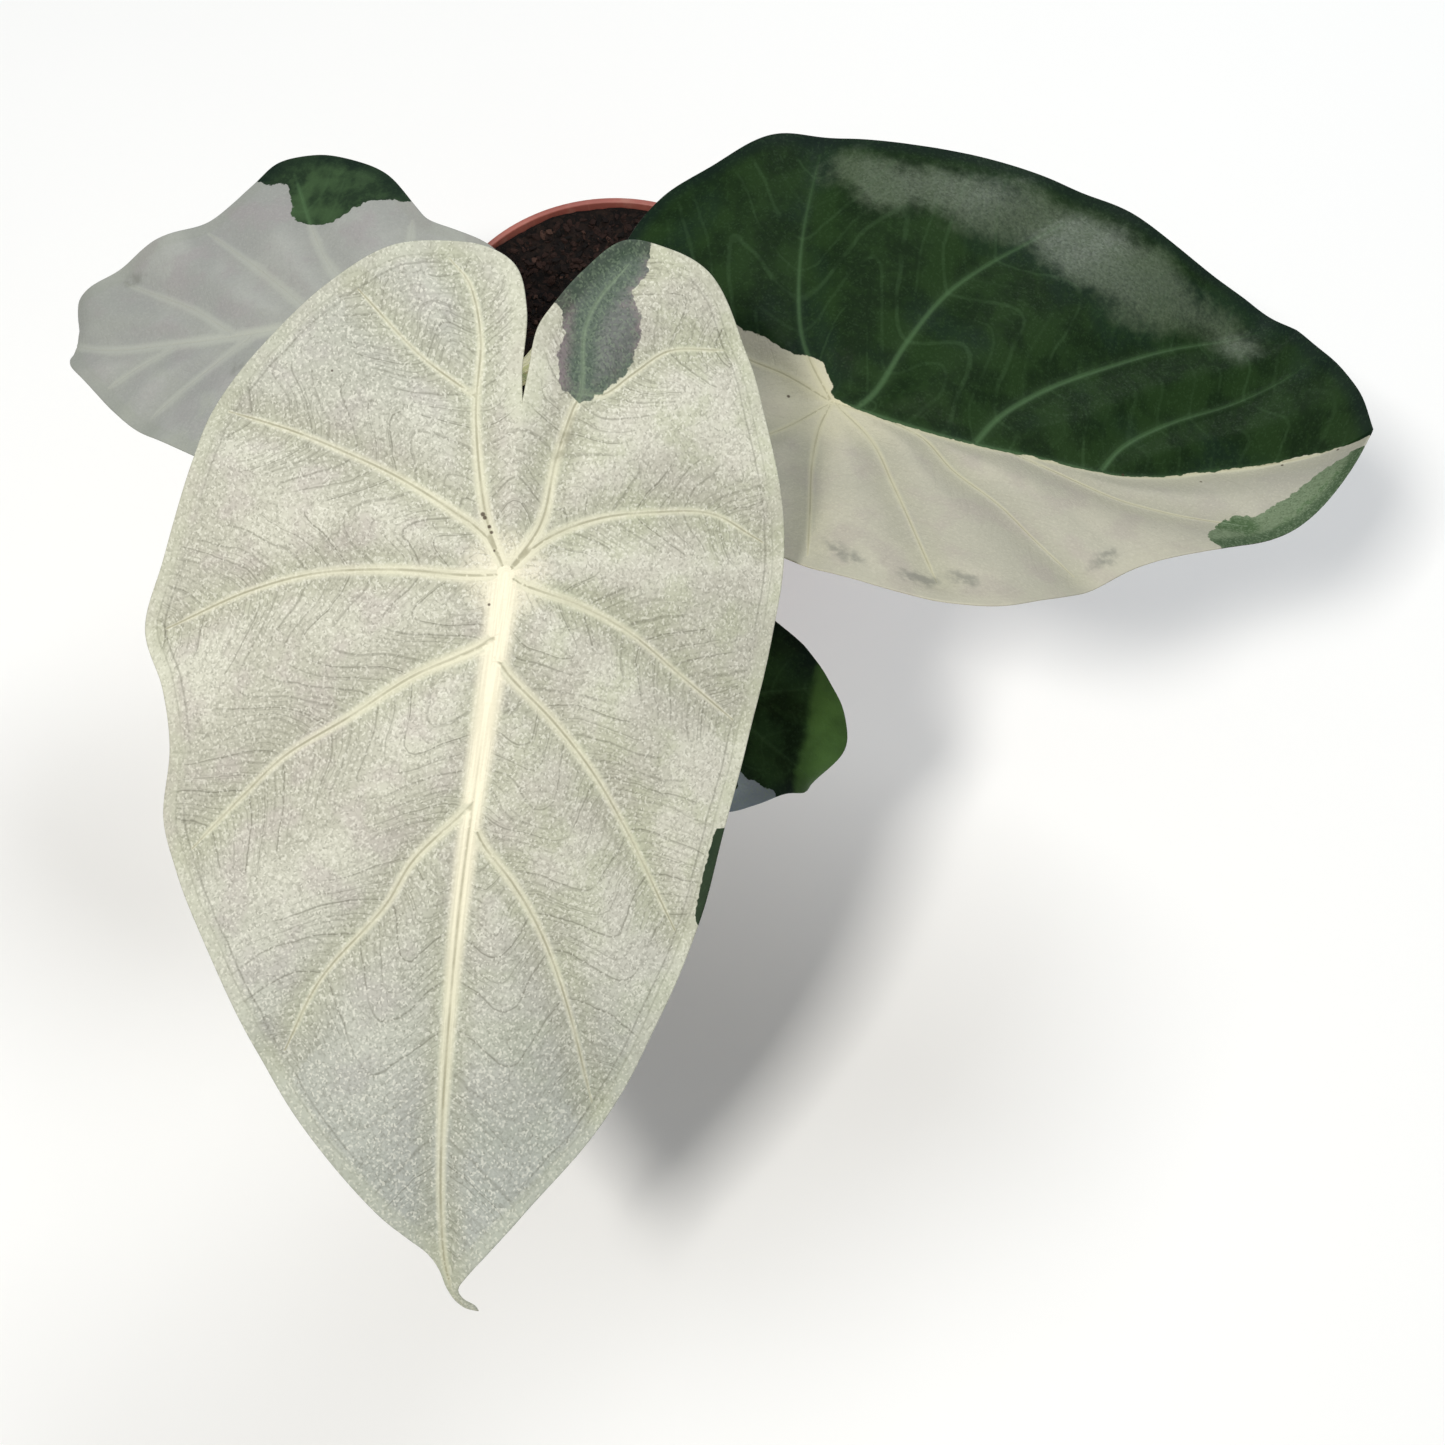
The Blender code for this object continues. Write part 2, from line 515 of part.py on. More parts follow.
def build_petiole(name, blade, crown_cutter, collection, cutters):
    path = petiole_path(blade)
    curve = bpy.data.curves.new(f"petiole_{name}", "CURVE")
    curve.dimensions = "3D"
    curve.bevel_depth = 1.0
    curve.bevel_resolution = 3
    curve.use_fill_caps = True
    spline = curve.splines.new("POLY")
    spline.points.add(len(path) - 1)
    for i, point in enumerate(path):
        share = i / (len(path) - 1)
        spline.points[i].co = (*point, 1.0)
        spline.points[i].radius = PETIOLE_FOOT_RADIUS + (PETIOLE_TIP_RADIUS - PETIOLE_FOOT_RADIUS) * share
    tube = bpy.data.objects.new(f"petiole_{name}_path", curve)
    collection.objects.link(tube)
    view = bpy.context.evaluated_depsgraph_get()
    mesh = bpy.data.meshes.new_from_object(tube.evaluated_get(view))
    shape = bmesh.new()
    shape.from_mesh(mesh)
    bmesh.ops.remove_doubles(shape, verts=shape.verts, dist=0.01 * MM)
    bmesh.ops.recalc_face_normals(shape, faces=shape.faces)
    shape.to_mesh(mesh)
    shape.free()
    item = bpy.data.objects.new(f"petiole_{name}", mesh)
    item.matrix_world = tube.matrix_world
    collection.objects.link(item)
    bpy.data.objects.remove(tube, do_unlink=True)
    mesh.materials.clear()
    mesh.materials.append(finish("petiole_skin"))
    mesh.shade_smooth()
    cut(item, crown_cutter)
    cut(item, build_joint_cutter(name, blade, cutters))
    return item


def main():
    clear_scene()
    parts = bpy.data.collections.new("regal_shields_alocasia")
    cutters = bpy.data.collections.new("cutters")
    bpy.context.scene.collection.children.link(parts)
    bpy.context.scene.collection.children.link(cutters)
    build_pot(parts, cutters)
    build_soil(parts)
    crown, crown_cutter = build_crown(parts, cutters)
    for name, blade in BLADES.items():
        build_blade(name, blade, parts)
        build_petiole(name, blade, crown_cutter, parts, cutters)


main()
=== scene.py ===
# Regal shields alocasia in a round nursery pot: the finished, visible model.
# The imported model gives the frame. Every piece is made in metres, in its own place.
from math import cos, pi, radians, sin
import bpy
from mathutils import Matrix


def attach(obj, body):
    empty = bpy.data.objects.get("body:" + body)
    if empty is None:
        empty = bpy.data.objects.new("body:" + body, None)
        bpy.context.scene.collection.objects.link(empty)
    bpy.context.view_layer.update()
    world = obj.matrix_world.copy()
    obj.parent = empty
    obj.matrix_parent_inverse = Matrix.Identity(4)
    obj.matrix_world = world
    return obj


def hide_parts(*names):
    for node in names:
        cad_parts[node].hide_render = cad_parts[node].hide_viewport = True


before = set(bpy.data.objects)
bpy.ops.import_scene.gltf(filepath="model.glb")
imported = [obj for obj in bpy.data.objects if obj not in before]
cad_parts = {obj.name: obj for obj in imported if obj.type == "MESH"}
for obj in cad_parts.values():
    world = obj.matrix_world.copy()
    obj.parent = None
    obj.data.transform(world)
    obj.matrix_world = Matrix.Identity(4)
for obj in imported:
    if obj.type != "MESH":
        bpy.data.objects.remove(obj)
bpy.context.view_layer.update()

from types import SimpleNamespace

import bpy
import numpy as np
from mathutils import Vector, noise as lumps
from mathutils.geometry import delaunay_2d_cdt
from mathutils.kdtree import KDTree

mm = 0.001


# Node trees: a Wire is one socket, and sums on wires add the Math nodes.

def maths(operation):
    def method(self, *others):
        return self.nodes.add("ShaderNodeMath", {"operation": operation}, (self, *others))
    return method


class Wire:
    __add__ = __radd__ = maths("ADD")
    __mul__ = __rmul__ = maths("MULTIPLY")
    __sub__, __truediv__, __pow__ = maths("SUBTRACT"), maths("DIVIDE"), maths("POWER")
    __gt__, __lt__, __abs__ = maths("GREATER_THAN"), maths("LESS_THAN"), maths("ABSOLUTE")
    floor, atLeast = maths("FLOOR"), maths("MAXIMUM")

    def __init__(self, nodes, socket):
        self.nodes, self.socket = nodes, socket

    def __rsub__(self, other):
        return self.nodes.add("ShaderNodeMath", {"operation": "SUBTRACT"}, (other, self))

    def rise(self, low, high):      # 0 below low, 1 above high, smooth between them
        return self.nodes.add("ShaderNodeMapRange", {"interpolation_type": "SMOOTHSTEP"},
                              {"Value": self, "From Min": low, "From Max": high})

    def fall(self, low, high):      # 1 below low, 0 above high
        return 1 - self.rise(low, high)


def socketOf(sockets, key):
    if isinstance(key, int):
        return sockets[key]
    return next((s for s in sockets if s.identifier == key), None) or sockets[key]


class Nodes:
    def __init__(self, tree):
        self.tree = tree

    def add(self, kind, settings=None, inputs=(), out=0):
        node = self.tree.nodes.new(kind)
        for key, value in (settings or {}).items():
            setattr(node, key, value)
        for key, value in inputs.items() if isinstance(inputs, dict) else enumerate(inputs):
            socket = socketOf(node.inputs, key)
            if isinstance(value, Wire):
                self.tree.links.new(value.socket, socket)
            else:
                socket.default_value = (*value, 1.0) if socket.type == "RGBA" else value
        return Wire(self, socketOf(node.outputs, out)) if node.outputs else None

    def attribute(self, name, out="Fac"):
        return self.add("ShaderNodeAttribute", {"attribute_name": name}, out=out)

    def objectPlace(self):
        return self.add("ShaderNodeTexCoord", out="Object")

    def blend(self, share, under, over):
        return self.add("ShaderNodeMix", {"data_type": "RGBA"},
                        {"Factor_Float": share, "A_Color": under, "B_Color": over}, "Result_Color")

    def layered(self, colour, *coats):    # each coat is the share that it covers, and its colour on screen
        for share, over in coats:
            colour = self.blend(share, seen(colour), seen(over))
        return colour

    def vectors(self, operation, *terms, out=0):
        return self.add("ShaderNodeVectorMath", {"operation": operation}, terms, out)

    def part(self, vector, axis):
        return self.add("ShaderNodeSeparateXYZ", inputs=(vector,), out=axis)

    def cloud(self, place, size, detail=2.0, plane="3D"):     # soft noise, size is that of its patches
        return self.add("ShaderNodeTexNoise", {"noise_dimensions": plane},
                        {"Vector": place, "Scale": 1 / size, "Detail": detail}, "Fac")

    def cells(self, place, size, plane="3D"):                 # one random value for each small cell
        return self.part(self.add("ShaderNodeTexVoronoi", {"voronoi_dimensions": plane},
                                  {"Vector": place, "Scale": 1 / size}, "Color"), "X")

    def scaled(self, vector, factors):
        return self.vectors("MULTIPLY", vector, factors)

    def bump(self, height, strength, depth):
        return self.add("ShaderNodeBump", inputs={"Strength": strength, "Distance": depth, "Height": height})

    def moved(self, geometry, away, amount):                  # every point goes along its own vector
        push = self.add("ShaderNodeVectorMath", {"operation": "SCALE"}, {"Vector": away, "Scale": amount})
        return self.add("GeometryNodeSetPosition", inputs={"Geometry": geometry, "Offset": push})


def seen(colour):                     # a colour as seen on screen, 0 to 255, in the renderer's own values
    if isinstance(colour, Wire):
        return colour
    return tuple(c / 255 / 12.92 if c < 11 else ((c / 255 + 0.055) / 1.055) ** 2.4 for c in colour)


def makeMaterial(name, recipe, fixed=None):
    material = bpy.data.materials.new(name)
    material.use_nodes = True
    nodes = Nodes(material.node_tree)
    skin = material.node_tree.nodes["Principled BSDF"]
    for label, value in (fixed or {}).items():
        skin.inputs[label].default_value = value
    for label, wire in recipe(nodes).items():
        material.node_tree.links.new(wire.socket, skin.inputs[label])
    return material


# Geometry Nodes: a tree with named inputs, and its result as a plain mesh

def newTree(name, inputs):
    tree = bpy.data.node_groups.new(name, "GeometryNodeTree")
    kinds = {int: "Int", float: "Float", Vector: "Vector", bpy.types.Material: "Material"}
    tree.interface.new_socket("Geometry", in_out="INPUT", socket_type="NodeSocketGeometry")
    for label, kind in inputs.items():
        tree.interface.new_socket(label, in_out="INPUT", socket_type=f"NodeSocket{kinds[kind]}")
    tree.interface.new_socket("Geometry", in_out="OUTPUT", socket_type="NodeSocketGeometry")
    nodes = Nodes(tree)
    entry = tree.nodes.new("NodeGroupInput")
    return nodes, {socket.name: Wire(nodes, socket) for socket in entry.outputs if socket.name}


def closeTree(nodes, geometry, material):
    geometry = nodes.add("GeometryNodeRealizeInstances", inputs={"Geometry": geometry})
    geometry = nodes.add("GeometryNodeSetMaterial", inputs={"Geometry": geometry, "Material": material})
    nodes.add("NodeGroupOutput", inputs={"Geometry": geometry})
    return nodes.tree


def plainMesh(item):                  # the object's modifiers become its mesh
    view = bpy.context.evaluated_depsgraph_get()
    mesh = bpy.data.meshes.new_from_object(item.evaluated_get(view))
    item.modifiers.clear()
    item.data = mesh


def grow(item, tree, values):
    modifier = item.modifiers.new(tree.name, "NODES")
    modifier.node_group = tree
    for socket in tree.interface.items_tree:
        if socket.in_out == "INPUT" and socket.name in values:
            modifier[socket.identifier] = values[socket.name]
    plainMesh(item)


def meshObject(name, points, faces, material=None, edges=()):
    mesh = bpy.data.meshes.new(name)
    mesh.from_pydata(np.asarray(points, dtype=float).tolist(), list(edges), [tuple(face) for face in faces])
    item = bpy.data.objects.new(name, mesh)
    bpy.context.scene.collection.objects.link(item)
    if material:
        mesh.materials.append(material)
    if len(faces):
        mesh.shade_smooth()
    return item


def writeAttribute(item, name, values):
    values = np.asarray(values, dtype=np.float32)
    kind, field = ("FLOAT", "value") if values.ndim == 1 else ("FLOAT_VECTOR", "vector")
    item.data.attributes.new(name, kind, "POINT").data.foreach_set(field, values.ravel())


# Paths and meshes as arrays

def runAlong(path, power=1):          # how far along the path each point lies
    return np.concatenate([[0.0], np.cumsum(np.linalg.norm(np.diff(path, axis=0), axis=1) ** power)])


def between(k, k0, p0, k1, p1):       # the value at k on the line through p0 at k0 and p1 at k1
    return ((k1 - k) * p0 + (k - k0) * p1) / (k1 - k0)


def smoothPath(points, step):         # even steps along a smooth curve through the given points
    fixed = np.array(points, dtype=float)
    padded = np.vstack([2 * fixed[0] - fixed[1], fixed, 2 * fixed[-1] - fixed[-2]])
    knots = runAlong(padded, 0.5)
    fine = []
    for i in range(1, len(padded) - 2):
        knot, spot = knots[i - 1:i + 3], padded[i - 1:i + 3]
        for k in np.linspace(knot[1], knot[2], 24, endpoint=False):
            a = [between(k, knot[j], spot[j], knot[j + 1], spot[j + 1]) for j in range(3)]
            b = [between(k, knot[j], a[j], knot[j + 2], a[j + 1]) for j in range(2)]
            fine.append(between(k, knot[1], b[0], knot[2], b[1]))
    fine = np.array(fine + [fixed[-1]])
    run = runAlong(fine)
    spots = np.linspace(0, run[-1], max(2, round(run[-1] / step) + 1))
    return np.column_stack([np.interp(spots, run, fine[:, axis]) for axis in range(fine.shape[1])])


def treeOf(points):                   # finds the nearest of the flat points
    tree = KDTree(len(points))
    for i, (x, y) in enumerate(points):
        tree.insert((x, y, 0), i)
    tree.balance()
    return tree


def sumAtCorners(count, faces, values):   # what each point gets from the triangles that meet in it
    total = np.zeros((count, *values.shape[1:]))
    for corner in range(3):
        np.add.at(total, faces[:, corner], values)
    return total


def unit(vectors):
    return vectors / np.linalg.norm(vectors, axis=-1, keepdims=True)


# Leaf blades. Each is drawn flat, in millimetres: u runs from the petiole along the midrib, v across it.

bladeStyle = {
    "thickness": 0.8, "rimThickness": 0.45, "rimFade": 4, "rimRound": 0.18, "edgeStep": 1.0, "filler": 1.6,
    "veinDepth": 2.4, "veinReach": 8, "jointFlat": 14, "dropFrom": 25, "dropFade": 20,
    "veinStep": 0.5, "veinEnd": 4.8, "veinBeyond": 12, "rootFade": 0.25, "markingStep": 0.9,
    "ridge": 0.22, "ridgeAt": 0.3, "ridgeWidth": 0.28, "midribRib": 1.5, "sideRib": 0.8, "ribWidth": 0.42,
    "waves": [(7, 1.0, 0.0), (11, 0.6, 1.7)],      # each: how often round the margin, its size and its shift
    # rows of mesh points: shares of a vein's width, mm in from the margin, shares of a speck's radius
    "veinRows": (0, -0.3, 0.3, -0.7, 0.7, -1.2, 1.2), "marginRows": (0.3, 0.9, 1.9, 3.3, 4.8),
    "speckRows": (0, 0.6, 1.1, 1.7),
    "clear": {"vein": 0.3, "margin": 0.2, "speck": 0.15, "marking": 0.35, "filler": 0.72, "outline": 0.25},
}
markings = ("green", "mist", "stain", "waxAndSheen")
bladeFields = ("gap", "band", "flow", "steep", "rim", *markings, "speck")

# Sizes are in mm and turns in degrees. The midrib and each vein: the widths at its start and at its end, and
# its points. Each speck: u, v and radius. The markings are closed outlines.
plainBlade = {    # what most blades share
    "roll": 0, "lobeRise": 0, "edgeDrop": 0, "bow": (0, 0, 0), "crease": [(0, 0), (1, 0)],
    "green": [], "mist": [], "stain": [], "waxAndSheen": [], "specks": [],
}
blades = {
    "front": {
        **plainBlade, "joint": (-13.5, -159, 240), "heading": -96, "pitch": -24, "roll": -10, "length": 176,
        "lobe": 80, "halfWidth": 70, "fold": (-4, -4), "curl": (-18, -18), "droop": 10, "hook": 30,
        "hookFrom": 0.8, "lobeRise": -10, "sway": -3.5, "marginWave": 1.5, "foot": (-118, 101),
        "slot": (-37, 0), "tip": (171.6, 11), "look": "creamLook",
        "marginPlus": [(-45, 0.8), (-55, 2), (-61, 5), (-70, 11), (-79, 20), (-79, 29), (-75, 41), (-58, 52),
            (-44, 57), (-15, 65), (8, 64.5), (52, 58.5), (76, 55.5), (99, 48.5), (123, 39), (144, 21),
            (153, 13.2), (159, 8.8), (164, 6.4), (167, 7.6), (169.6, 10.2)],
        "marginMinus": [(-45, -0.8), (-60, -1), (-70, -4.5), (-74, -14), (-71, -32), (-62, -46), (-35, -69),
            (-20, -74), (4, -79), (20, -81.5), (33, -75), (46, -71.5), (63, -71), (74, -66.5), (92, -55),
            (125, -32.5), (146, -12.5), (152, -5), (156, -0.3), (160, 2.2), (165.5, 4.1), (169, 6.1),
            (171, 8.4)],
        "midrib": (7.2, 1.4, [(0, 0), (28, -0.8), (68, -0.8), (105, 0.5), (131, 1.5), (148, 2.5), (160, 3.8),
            (166, 5.6), (169.5, 8.4), (171.6, 11)]),
        "veins": [
            (3.6, 1.4, [(0, 0), (-12, -5.4), (-34.5, -9.9), (-52.7, -10.5), (-64.8, -14.1), (-70, -19)]),
            (2.0, 1.0, [(-39.2, -11), (-47.3, -23.6), (-60.3, -37.9)]),
            (3.4, 1.3, [(0, 0), (-7.8, -5), (-13.4, -13.9), (-19.7, -26.6), (-24.6, -39.8), (-28.3, -51.3),
                (-32.1, -66.6)]),
            (3.6, 1.3, [(0, 0), (1, -8), (1.3, -24.6), (3.8, -42.5), (9.2, -57.7), (18.6, -75)]),
            (3.8, 1.3, [(13, 0), (16.4, -3.8), (24.6, -18.1), (35.1, -31.1), (45.2, -44.3), (55, -52.5),
                (68, -62.5)]),
            (3.2, 1.2, [(50, 0), (54.1, -3.2), (65.4, -12.3), (76.2, -17.1), (94.4, -29.4), (111, -35.5)]),
            (3.6, 1.4, [(0, 0), (-11.9, 6.7), (-26.4, 8.7), (-38.4, 11.5), (-42.5, 13), (-57, 12.6),
                (-64.2, 15), (-72, 20)]),
            (2.0, 1.0, [(-42.5, 13), (-42.7, 17.8), (-49.3, 25.2), (-55.5, 32.5), (-58.2, 44.3)]),
            (3.2, 1.2, [(0, 0), (-8.2, 7.5), (-14.5, 19), (-17.8, 32.1), (-19.3, 46.3), (-15.4, 57.1)]),
            (3.2, 1.2, [(0, 0), (1.8, 4), (5.1, 17.2), (10.2, 29.7), (18.7, 43), (26.5, 55.4)]),
            (3.4, 1.2, [(18, 0), (21.4, 2.4), (31.8, 14.7), (42.1, 24.9), (55.4, 35.2), (73.3, 47.3)]),
            (3.0, 1.2, [(56, 0), (59.9, 2.3), (68.6, 10.5), (77, 16.9), (87.1, 22.7), (100, 28.5),
                (113.6, 33.5)]),
        ],
        "green": [[(53, 56.5), (52.5, 66), (77, 62), (76, 56.5), (75.5, 55), (70, 54.5), (63, 55),
            (57, 55.5)]],
        "mist": [[(-62, 3), (-68, 4), (-74, 9.5), (-82, 17), (-84, 21), (-82, 25.5), (-74.5, 26),
            (-71.5, 26), (-66.5, 23), (-61, 25), (-53.5, 24.5), (-47, 21.5), (-42, 16.5), (-40.5, 13.5),
            (-42, 10.5), (-44, 8), (-49.5, 7.5), (-53, 8.5), (-58, 7.5), (-61.5, 7)]],
        "stain": [[(-37, 12.3), (-33.5, 12), (-29, 10.2), (-27, 9), (-29.5, 9), (-34, 10.7)]],
        "specks": [(-12.8, -6.3, 0.5), (-12.1, -5.8, 0.45), (-10.2, -4.6, 0.4), (-9, -4, 0.35),
            (-5, -3, 0.25), (7, -3, 0.3), (-42, -43, 0.25)],
    },
    "right": {
        **plainBlade, "joint": (63, -79, 184), "heading": -3, "pitch": 2, "length": 143, "lobe": 58,
        "halfWidth": 65, "fold": (10, 26), "curl": (4, -4), "droop": 22, "hook": -50, "hookFrom": 0.6,
        "sway": -11, "marginWave": 1.5, "edgeDrop": 2.6, "foot": (-6, 99), "slot": (-28, 0), "tip": (143, 4),
        "look": "halfGreenLook",
        "crease": [(0, 0), (8, -1.6), (15, -4), (24, -5.9), (33, -6.6), (54, -6.4), (75, -5.2), (89, -2.4),
            (100, 0.6), (119, 3.2), (143, 4)],
        "marginPlus": [(-36, 1.5), (-46, 6), (-54, 16), (-58, 30), (-57, 43), (-47, 58), (-33, 66),
            (-17, 74), (5, 75.5), (30, 73.5), (69, 69), (87, 62), (111, 51), (131, 32), (141, 15)],
        "marginMinus": [(-36, -1.5), (-46, -7), (-55, -19), (-57, -34), (-46, -50), (-28, -60), (-10, -66),
            (0, -71), (13, -75), (36, -75.5), (49, -67.5), (59, -59), (74, -45), (88, -37.5), (105, -31),
            (120, -26), (133, -17), (140, -8)],
        "midrib": (3.4, 1.0, [(0, 0), (15, -4.2), (33, -6.8), (54, -6.4), (75, -5.6), (89, -2.5), (100, 1),
            (119, 3.6), (134, 3.5), (143, 4)]),
        "veins": [
            (2.8, 1.2, [(0, 0), (-6.4, 12.1), (-8.8, 19.9), (-9.8, 34.2), (-9, 48.6), (-7.3, 59.6)]),
            (3.2, 1.3, [(6, -2), (11.1, 3.3), (18.6, 17.7), (27.9, 32.3), (37.4, 42.3), (47.7, 51.3),
                (53.4, 56.5)]),
            (3.0, 1.2, [(37, -6.8), (43.2, 2.1), (55.4, 13.1), (71.9, 24), (88.8, 33.2), (111.4, 41.2)]),
            (2.6, 1.1, [(70, -5.8), (76, 2.7), (89.8, 13), (107.2, 20.9), (120.8, 26.6)]),
            (2.4, 1.1, [(0, 0), (-2.8, -11.6), (-4.3, -28.3), (-4.2, -45.5), (-4.1, -65.2)]),
            (2.4, 1.1, [(1, -0.4), (2.9, -3.7), (10.6, -16.2), (15.6, -33.1), (19.2, -46.2), (22.1, -57.5)]),
            (2.2, 1.1, [(15, -4.2), (23.6, -9.2), (30.8, -21.2), (41.2, -31.8), (49.3, -43.1), (56.8, -52)]),
            (2.0, 1.0, [(46, -6.6), (52.8, -8.9), (62.1, -12.8), (71.5, -16.7), (84.2, -19.7),
                (94.1, -21.2)]),
            (2.4, 1.1, [(0, 0), (-12.4, -13.5), (-28, -24), (-44, -37)]),
            (2.4, 1.1, [(0, 0), (-12, 7), (-27, 14), (-47, 34)]),
        ],
        "green": [[(-62, 36), (-48, 31), (-36, 24), (-24.3, 19.5), (-16.3, 16), (-10.8, 13), (-6.3, 12.5),
            (-2.8, 11), (-1.3, 8.5), (0.2, 5.5), (0.2, 2), (3.2, -0.5), (15.2, -4.5), (32.7, -7),
            (53.7, -6.5), (74.7, -6), (88.7, -2.5), (100.2, 1), (119.2, 4), (133.7, 3.5), (150, 2),
            (150, 90), (-70, 90), (-70, 40)]],
        "mist": [[(91.2, -30.5), (97.7, -22.5), (103.7, -18.5), (108.7, -19), (120.7, -12), (131.7, -5.5),
            (140, -3), (145, -8), (129.2, -22), (121.7, -30), (112.7, -33), (97.2, -37)]],
        "stain": [[(0, -59), (3, -61), (6, -64), (9, -66), (6, -68), (2, -64)], [(17, -67), (25, -67.5),
            (24, -70.5), (17, -70)], [(28, -63.5), (34, -65.5), (33, -68.5), (28, -66.5)], [(62, -49),
            (64, -44), (68, -41), (67, -46)]],
        # the band along the far side: a glossier coat, and a paler grey-green tint that is painted sheen
        "waxAndSheen": [[(-0.3, 71), (30.7, 67), (62.2, 65), (83.7, 58), (97.2, 48), (110, 42), (116, 36),
            (106, 33), (97.2, 38), (88, 38), (76.7, 36), (66, 41), (57.7, 43.5), (50, 50), (41.7, 52),
            (32, 51), (23.7, 55), (14, 53), (5.7, 53.5), (2, 60), (-4, 64)]],
        "specks": [(134.2, 2.5, 0.35), (119.7, 2.5, 0.35), (76.2, -5, 0.35), (96.7, -4, 0.3),
            (-11.3, 1, 0.4)],
    },
    "left": {
        **plainBlade, "joint": (-57.5, -42, 168), "heading": 177, "pitch": -6, "length": 106, "lobe": 37,
        "halfWidth": 48, "fold": (4, 4), "curl": (-8, -8), "droop": 14, "hook": 170, "hookFrom": 0.78,
        "lobeRise": -30, "sway": 3, "marginWave": 1.2, "foot": (-168, 97), "bow": (4, -20, -9),
        "slot": (-23, 0), "tip": (102, -6), "look": "greyCreamLook",
        "marginPlus": [(-29, 2), (-34.5, 8.5), (-36.5, 19.5), (-31, 31), (-17.5, 40.5), (0, 46.5),
            (19.5, 48), (36.5, 46.5), (48, 40.5), (61, 33), (69, 27.5), (76, 21.5), (83, 14.5), (89, 8),
            (94, 1.5)],
        "marginMinus": [(-29, -2), (-34.5, -7.5), (-34.5, -16.5), (-28, -23), (-17.5, -27), (-8.5, -32.5),
            (-4, -37.5), (5, -47.5), (13.5, -52.5), (26, -56), (37.5, -55.5), (44.5, -49.5), (57, -38),
            (72, -31), (82, -25), (91, -19), (98, -13)],
        "midrib": (5.0, 2.2, [(0, 0), (22, 1), (45, 2), (64, 1.8), (86, 1), (102, -6)]),
        "veins": [
            (3.2, 1.8, [(0, 0), (-6, 21), (-4, 42.5)]), (3.2, 1.8, [(4, 0), (19.5, 21), (29, 43.5)]),
            (3.2, 1.8, [(36.5, 1.7), (50, 13.5), (63.5, 26)]),
            (2.4, 1.4, [(58, 1.9), (70.5, 8.5), (79, 14.5)]), (3.2, 1.8, [(0, 0), (-4, -17.5), (-4, -33)]),
            (3.2, 1.8, [(4, 0), (19.5, -20.5), (32, -50)]),
            (3.2, 1.8, [(17.5, 0.8), (36.5, -17.5), (56, -34.5)]),
            (3.0, 1.6, [(42.5, 1.9), (56, -8.5), (73.5, -17.5)]),
            (3.2, 1.8, [(0, 0), (-17.5, 8.5), (-30, 19.5)]),
            (3.2, 1.8, [(0, 0), (-17.5, -7.5), (-29, -16.5)]),
        ],
        "green": [[(44.8, -50.9), (40.3, -47.9), (35.3, -47.4), (31.8, -41.9), (29.8, -34.9), (25.3, -32.4),
            (16.3, -32.9), (12.3, -35.4), (6.8, -37.4), (0.3, -38.4), (-3.2, -39.4), (-8, -48), (10, -66),
            (40, -64), (52, -54)]],
        "stain": [[(73, -22), (76, -19.8), (79.5, -20.3), (78, -22.8)], [(38, 13), (40.5, 12.5),
            (41.8, 14.5), (39.5, 16)]],
    },
    "low": {
        **plainBlade, "joint": (14, -144.5, 172), "heading": -32, "pitch": -12, "length": 62, "lobe": 21,
        "halfWidth": 25, "fold": (6, 6), "curl": (-12, -12), "droop": 20, "hook": 120, "hookFrom": 0.8,
        "sway": 0, "marginWave": 0.8, "foot": (-62, 95), "slot": (-13, 0), "tip": (59, 0.5),
        "look": "greenLook", "green": [[(-60, -60), (90, -60), (90, 60), (-60, 60)]],
        "midrib": (2.2, 0.8, [(0, 0), (30, 0), (52, 0), (59, 0.5)]),
        "marginPlus": [(-18.5, 3), (-21.5, 9.5), (-18.5, 17.5), (-9.5, 24), (4.5, 28), (16.5, 28), (29, 27),
            (36.5, 25.5), (43.5, 24), (50.5, 20.5), (55, 13), (57, 5.5)],
        "marginMinus": [(-18.5, -3), (-21.5, -9.5), (-18.5, -17.5), (-9.5, -23), (4.5, -27), (18.5, -28),
            (30.5, -26), (40, -22.5), (46, -15.5), (51, -8), (56.5, -3)],
        "veins": [
            (1.6, 0.8, [(0, 0), (-3.5, 11), (-3, 22.5)]), (1.6, 0.8, [(3.5, 0), (15, 13), (22.5, 24)]),
            (1.6, 0.8, [(22.5, 0), (31.5, 9.5), (41, 18.5)]), (1.6, 0.8, [(0, 0), (-3.5, -11), (-3, -21.5)]),
            (1.6, 0.8, [(3.5, 0), (15, -13), (22.5, -24)]),
            (1.6, 0.8, [(22.5, 0), (31.5, -8.5), (41, -16.5)]),
            (1.6, 0.8, [(0, 0), (-10, 5.5), (-17.5, 13)]), (1.6, 0.8, [(0, 0), (-10, -5.5), (-17.5, -13)]),
        ],
        "mist": [[(38.4, -11.5), (41.4, -11), (45.4, -10.5), (50, -12), (50, -30), (38, -30),
            (39.4, -16.5)]],
    },
}


def turn(axis, degrees):
    c, s = cos(radians(degrees)), sin(radians(degrees))
    if axis == "x":
        return np.array([[1, 0, 0], [0, c, -s], [0, s, c]])
    if axis == "y":
        return np.array([[c, 0, s], [0, 1, 0], [-s, 0, c]])
    return np.array([[c, -s, 0], [s, c, 0], [0, 0, 1]])


def sumTo(places, flat, values):      # the sum of the values along the flat line, from 0 to each place
    total = np.concatenate([[0.0], np.cumsum(np.diff(flat) * (values[1:] + values[:-1]) / 2)])
    return np.interp(places, flat, total) - np.interp(0, flat, total)


